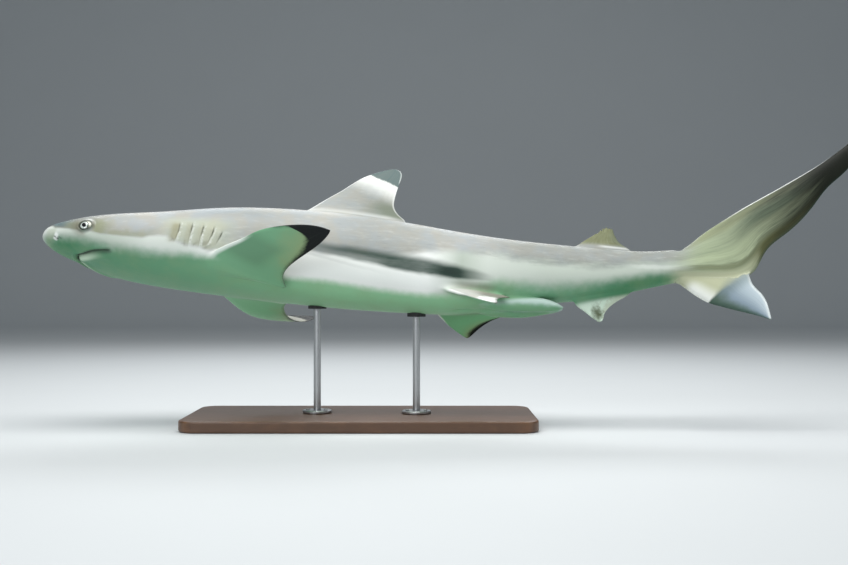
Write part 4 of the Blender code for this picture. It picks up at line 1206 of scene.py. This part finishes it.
def paintSkin():
    paint = Paint("shark_skin")
    straight = paint.attribute("straightPlace")
    noise = {"cloudy": paint.noise(straight, 0.4, 4), "wavy": paint.noise(straight, 1.15, 3, 0.5),
             "mottle": paint.noise(straight, 3.4, 4, 0.6),
             "streaks": paint.noise(paint.place((0.4, 2.2, 2.2), straight), 1.3, 4, 0.6),
             "drift": paint.noise(paint.place((0.35, 0.9, 0.9), straight), 0.8, 2, 0.5)}
    fine = paint.noise(straight, 16.0, 3)
    colour, back = bodyColour(paint, straight, noise)
    colour = finColours(paint, straight, noise, tailColour(paint, colour), back)
    eyeAlong, eyeUp, eyeRadii = paint.parts("eyePlace")
    flapAlong, flapUp, flapRadii = paint.parts("nostrilPlace")
    onSnout = flapRadii.rise(9, 7)
    behindEye = eyeAlong.near(0.98, 0.26, 0.06) * eyeUp.near(-0.1, 0.85, 0.2) * eyeRadii.rise(4, 3)
    colour = paint.washed(
        colour,
        # Around the eye: a brown patch in front, painted shadow below, a painted highlight on the brow above
        # and behind, a brown mark behind, and painted shade on the socket's rim.
        ("ruffle", eyeRadii.rise(2.6, 1.2) * (eyeAlong * -1.0 - eyeUp * 0.4).rise(0.2, 0.9) * 0.6),
        ("paintedShade", eyeRadii.rise(1.5, 1.1) * (eyeUp * -1.0 + eyeAlong * 0.25).rise(0.1, 0.6) * 0.75),
        ("white", eyeRadii.rise(1.8, 1.2) * (eyeAlong * 0.8 + eyeUp).rise(0.5, 1.2) * 0.5),
        ("ruffle", behindEye * 0.55),
        ("hollow", eyeRadii.near(1.02, 0.09, 0.02) * 0.55),
        # Painted shade in the nostril's opening beside its white flap.
        ("paintedShade", flapAlong.near(0.5, 0.4, 0.1) * flapUp.near(0.34, 0.16, 0.04) * onSnout * 0.5),
        ("white", flapAlong.near(-0.06, 0.42, 0.12) * flapUp.near(0.14, 0.62, 0.3) * onSnout * 0.9),
        # Painted shade inside the slits, sockets, nostrils, mouth groove and vent, by how deep each point
        # lies.
        ("hollow", paint.attribute("hollow", "Fac").rise(0.1, 0.85) * 0.92),
        ("olive", (fine - 0.5).size() * 0.16))
    scales = paint.node("ShaderNodeTexVoronoi", {}, {"Vector": straight, "Scale": 26.0}, output="Distance")
    return paint.finish(Base_Color=colour, Roughness=0.42 + noise["mottle"] * 0.16,
                        Normal=paint.bump(scales * 0.5 + fine, 0.2, 0.0006),
                        Coat_Weight=0.04, Coat_Roughness=0.3, Specular_IOR_Level=0.16)


def paintEye():
    paint = Paint("shark_eye")
    place = paint.attribute("irisPlace")
    u, v = paint.parts(place)[:2]
    radius = (u * u + v * v) ** 0.5
    pupil = (((u * 0.94 + v * 0.2) / 0.25).size() ** 1.9 + (v / 0.31).size() ** 1.9).rise(1.12, 0.9)
    rays = paint.noise(paint.place((6, 6, 1), place), 2.6, 4, 0.7)
    iris = paint.mix(rays.rise(0.3, 0.7), tone(186, 198, 190), tone(228, 233, 228))
    iris = paint.mix(radius.rise(0.38, 0.48), iris, tone(120, 134, 126))
    sclera = paint.mix(rays.rise(0.3, 0.8), tone(196, 198, 182), tone(214, 214, 196))
    # Painted shade on the lower front of the sclera, which stays light at the upper rear.
    sclera = paint.mix((u * 0.6 + v).rise(0.45, -0.25), sclera, tone(78, 84, 72))
    colour = paint.mix(radius.rise(0.46, 0.5), iris, tone(22, 28, 26))
    colour = paint.mix(radius.rise(0.53, 0.6), colour, sclera)
    colour = paint.mix(pupil, colour, (0.003, 0.004, 0.005))
    return paint.finish(Base_Color=colour, Roughness=0.12 + rays * 0.05, Coat_Weight=1.0, Coat_Roughness=0.03)


print("stage: skin")
skin = makeSkin()
skin.data.materials.append(paintSkin())
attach(skin, "root")
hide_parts(*skinNodes)
print("stage: eyes")
eyePaint = paintEye()
for name, side in (("left", -1), ("right", 1)):
    ball = makeEye("eyeball_" + name, side)
    ball.data.materials.append(eyePaint)
    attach(ball, "root")
    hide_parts("eye_" + name)


def paintWood():
    paint = Paint("stand_wood")
    bend = paint.noise((2, 5, 5), 2.0, 2)
    rings = paint.node("ShaderNodeTexWave", {"wave_type": "BANDS", "bands_direction": "Y"},
                       {"Vector": paint.place((0.6, 1, 1)), "Scale": 26.0, "Distortion": 5.0, "Detail": 3.0,
                        "Detail Scale": 1.4}, output="Fac")
    pores = paint.noise((12, 300, 300), 3.0, 3, 0.7)
    colour = paint.mix(rings * 0.6 + bend * 0.4, tone(78, 52, 34), tone(112, 78, 52))
    colour = paint.mix(pores.rise(0.55, 0.75) * 0.6, colour, tone(48, 32, 22))
    return paint.finish(Base_Color=colour, Roughness=0.34 + pores * 0.22, Coat_Weight=0.25,
                        Coat_Roughness=0.25, Normal=paint.bump(pores, 0.25, 0.0003))


def paintSteel():
    paint = Paint("stand_steel")
    brushed = paint.noise((900, 900, 12), 1.0, 3, 0.6)
    cloudy = paint.noise((20, 20, 20), 1.0, 2)
    colour = paint.mix(brushed, tone(168, 170, 172), tone(206, 207, 208))
    return paint.finish(Base_Color=colour, Metallic=1.0, Roughness=0.22 + brushed * 0.16 + cloudy * 0.06,
                        Normal=paint.bump(brushed, 0.08, 0.0002))


def paintRubber():
    paint = Paint("stand_rubber")
    grain = paint.noise((1, 1, 1), 900.0, 3)
    colour = paint.mix(grain.rise(0.4, 0.7), tone(30, 30, 31), tone(52, 52, 53))
    return paint.finish(Base_Color=colour, Roughness=0.7 + grain * 0.2, Normal=paint.bump(grain, 0.3, 0.0002))


print("stage: stand")
standPaints = {"wood": paintWood(), "steel": paintSteel(), "rubber": paintRubber()}
standKinds = {"stand_base": "wood", "stand_rod": "steel", "stand_flange": "steel", "stand_screw": "steel",
              "stand_pad": "rubber"}
for name, node in nodes.items():
    for start, kind in standKinds.items():
        if name.startswith(start):
            for slot in node.material_slots:
                slot.material = standPaints[kind]

room = {
    "halfWidth": 16.0, "near": -12.0, "wallAt": 4.2, "curve": 1.6, "height": 5.0, "under": 0.0004,
    "floor": tone(206, 210, 212),
}


# Floor, quarter round and wall in one sheet: a profile carried across.
def makeFloor():
    turn = np.linspace(0, math.pi / 2, 24)
    rear = room["wallAt"] + room["curve"]
    y = np.concatenate([[room["near"]], room["wallAt"] + room["curve"] * np.sin(turn), [rear]])
    z = np.concatenate([[0], room["curve"] * (1 - np.cos(turn)), [room["height"]]]) - room["under"]
    x = np.array([-1, 1]) * room["halfWidth"]
    points = np.stack(np.broadcast_arrays(x[None], y[:, None], z[:, None]), -1)
    index = np.arange(len(y) * 2).reshape(-1, 2)
    faces = np.stack([index[:-1, 0], index[:-1, 1], index[1:, 1], index[1:, 0]], -1).tolist()
    mesh = bpy.data.meshes.new("floor")
    mesh.from_pydata(points.reshape(-1, 3).tolist(), [], faces)
    mesh.shade_smooth()
    made = bpy.data.objects.new("floor", mesh)
    bpy.context.scene.collection.objects.link(made)
    paint = Paint("floor_paint")
    cloudy = paint.noise((1, 1, 1), 3.0, 3)
    colour = paint.mix(cloudy, room["floor"], tuple(c * 0.97 for c in room["floor"]))
    mesh.materials.append(paint.finish(Base_Color=colour, Roughness=0.6 + cloudy * 0.1))
    return made


print("stage: room")
makeFloor()


def areaLight(name, place, aim, size, power, colour):
    light = bpy.data.lights.new(name, "AREA")
    light.shape, light.size, light.size_y = "RECTANGLE", *size
    light.energy, light.color = power, colour
    made = bpy.data.objects.new(name, light)
    made.location = place
    direction = Matrix.Translation(aim).translation - made.location
    made.rotation_euler = direction.to_track_quat("-Z", "Y").to_euler()
    made.visible_camera = False
    bpy.context.scene.collection.objects.link(made)


# Each light's place, what it aims at, its size, its power and its colour.
lights = {
    "overhead": ((0.1, -0.35, 2.3), (0.1, 0, 0.2), (2.6, 1.5), 62, (1.0, 0.99, 0.97)),
    "rim": ((0.0, 1.7, 1.6), (0.1, 0, 0.3), (2.2, 0.5), 22, (0.97, 0.99, 1.0)),
    "front": ((-1.2, -3.0, 1.4), (0.0, 0, 0.25), (1.8, 1.4), 37, (0.95, 0.98, 1.0)),
    "side": ((2.6, -1.0, 1.2), (0.2, 0, 0.25), (1.2, 1.2), 5, (0.95, 0.98, 1.0)),
}
for name, values in lights.items():
    areaLight(name, *values)

world = bpy.data.worlds.new("studio")
world.use_nodes = True
world.node_tree.nodes["Background"].inputs["Color"].default_value = (0.72, 0.8, 0.86, 1)
world.node_tree.nodes["Background"].inputs["Strength"].default_value = 0.22
bpy.context.scene.world = world
bpy.context.scene.view_settings.view_transform = "Standard"

camera = bpy.data.cameras.new("camera")
camera.lens, camera.sensor_width, camera.clip_end = 50, 36, 60
view = bpy.data.objects.new("camera", camera)
view.location, view.rotation_euler = (0.1014, -1.92, 0.231), (math.pi / 2, 0, 0)
bpy.context.scene.collection.objects.link(view)
bpy.context.scene.camera = view

bpy.context.view_layer.update()
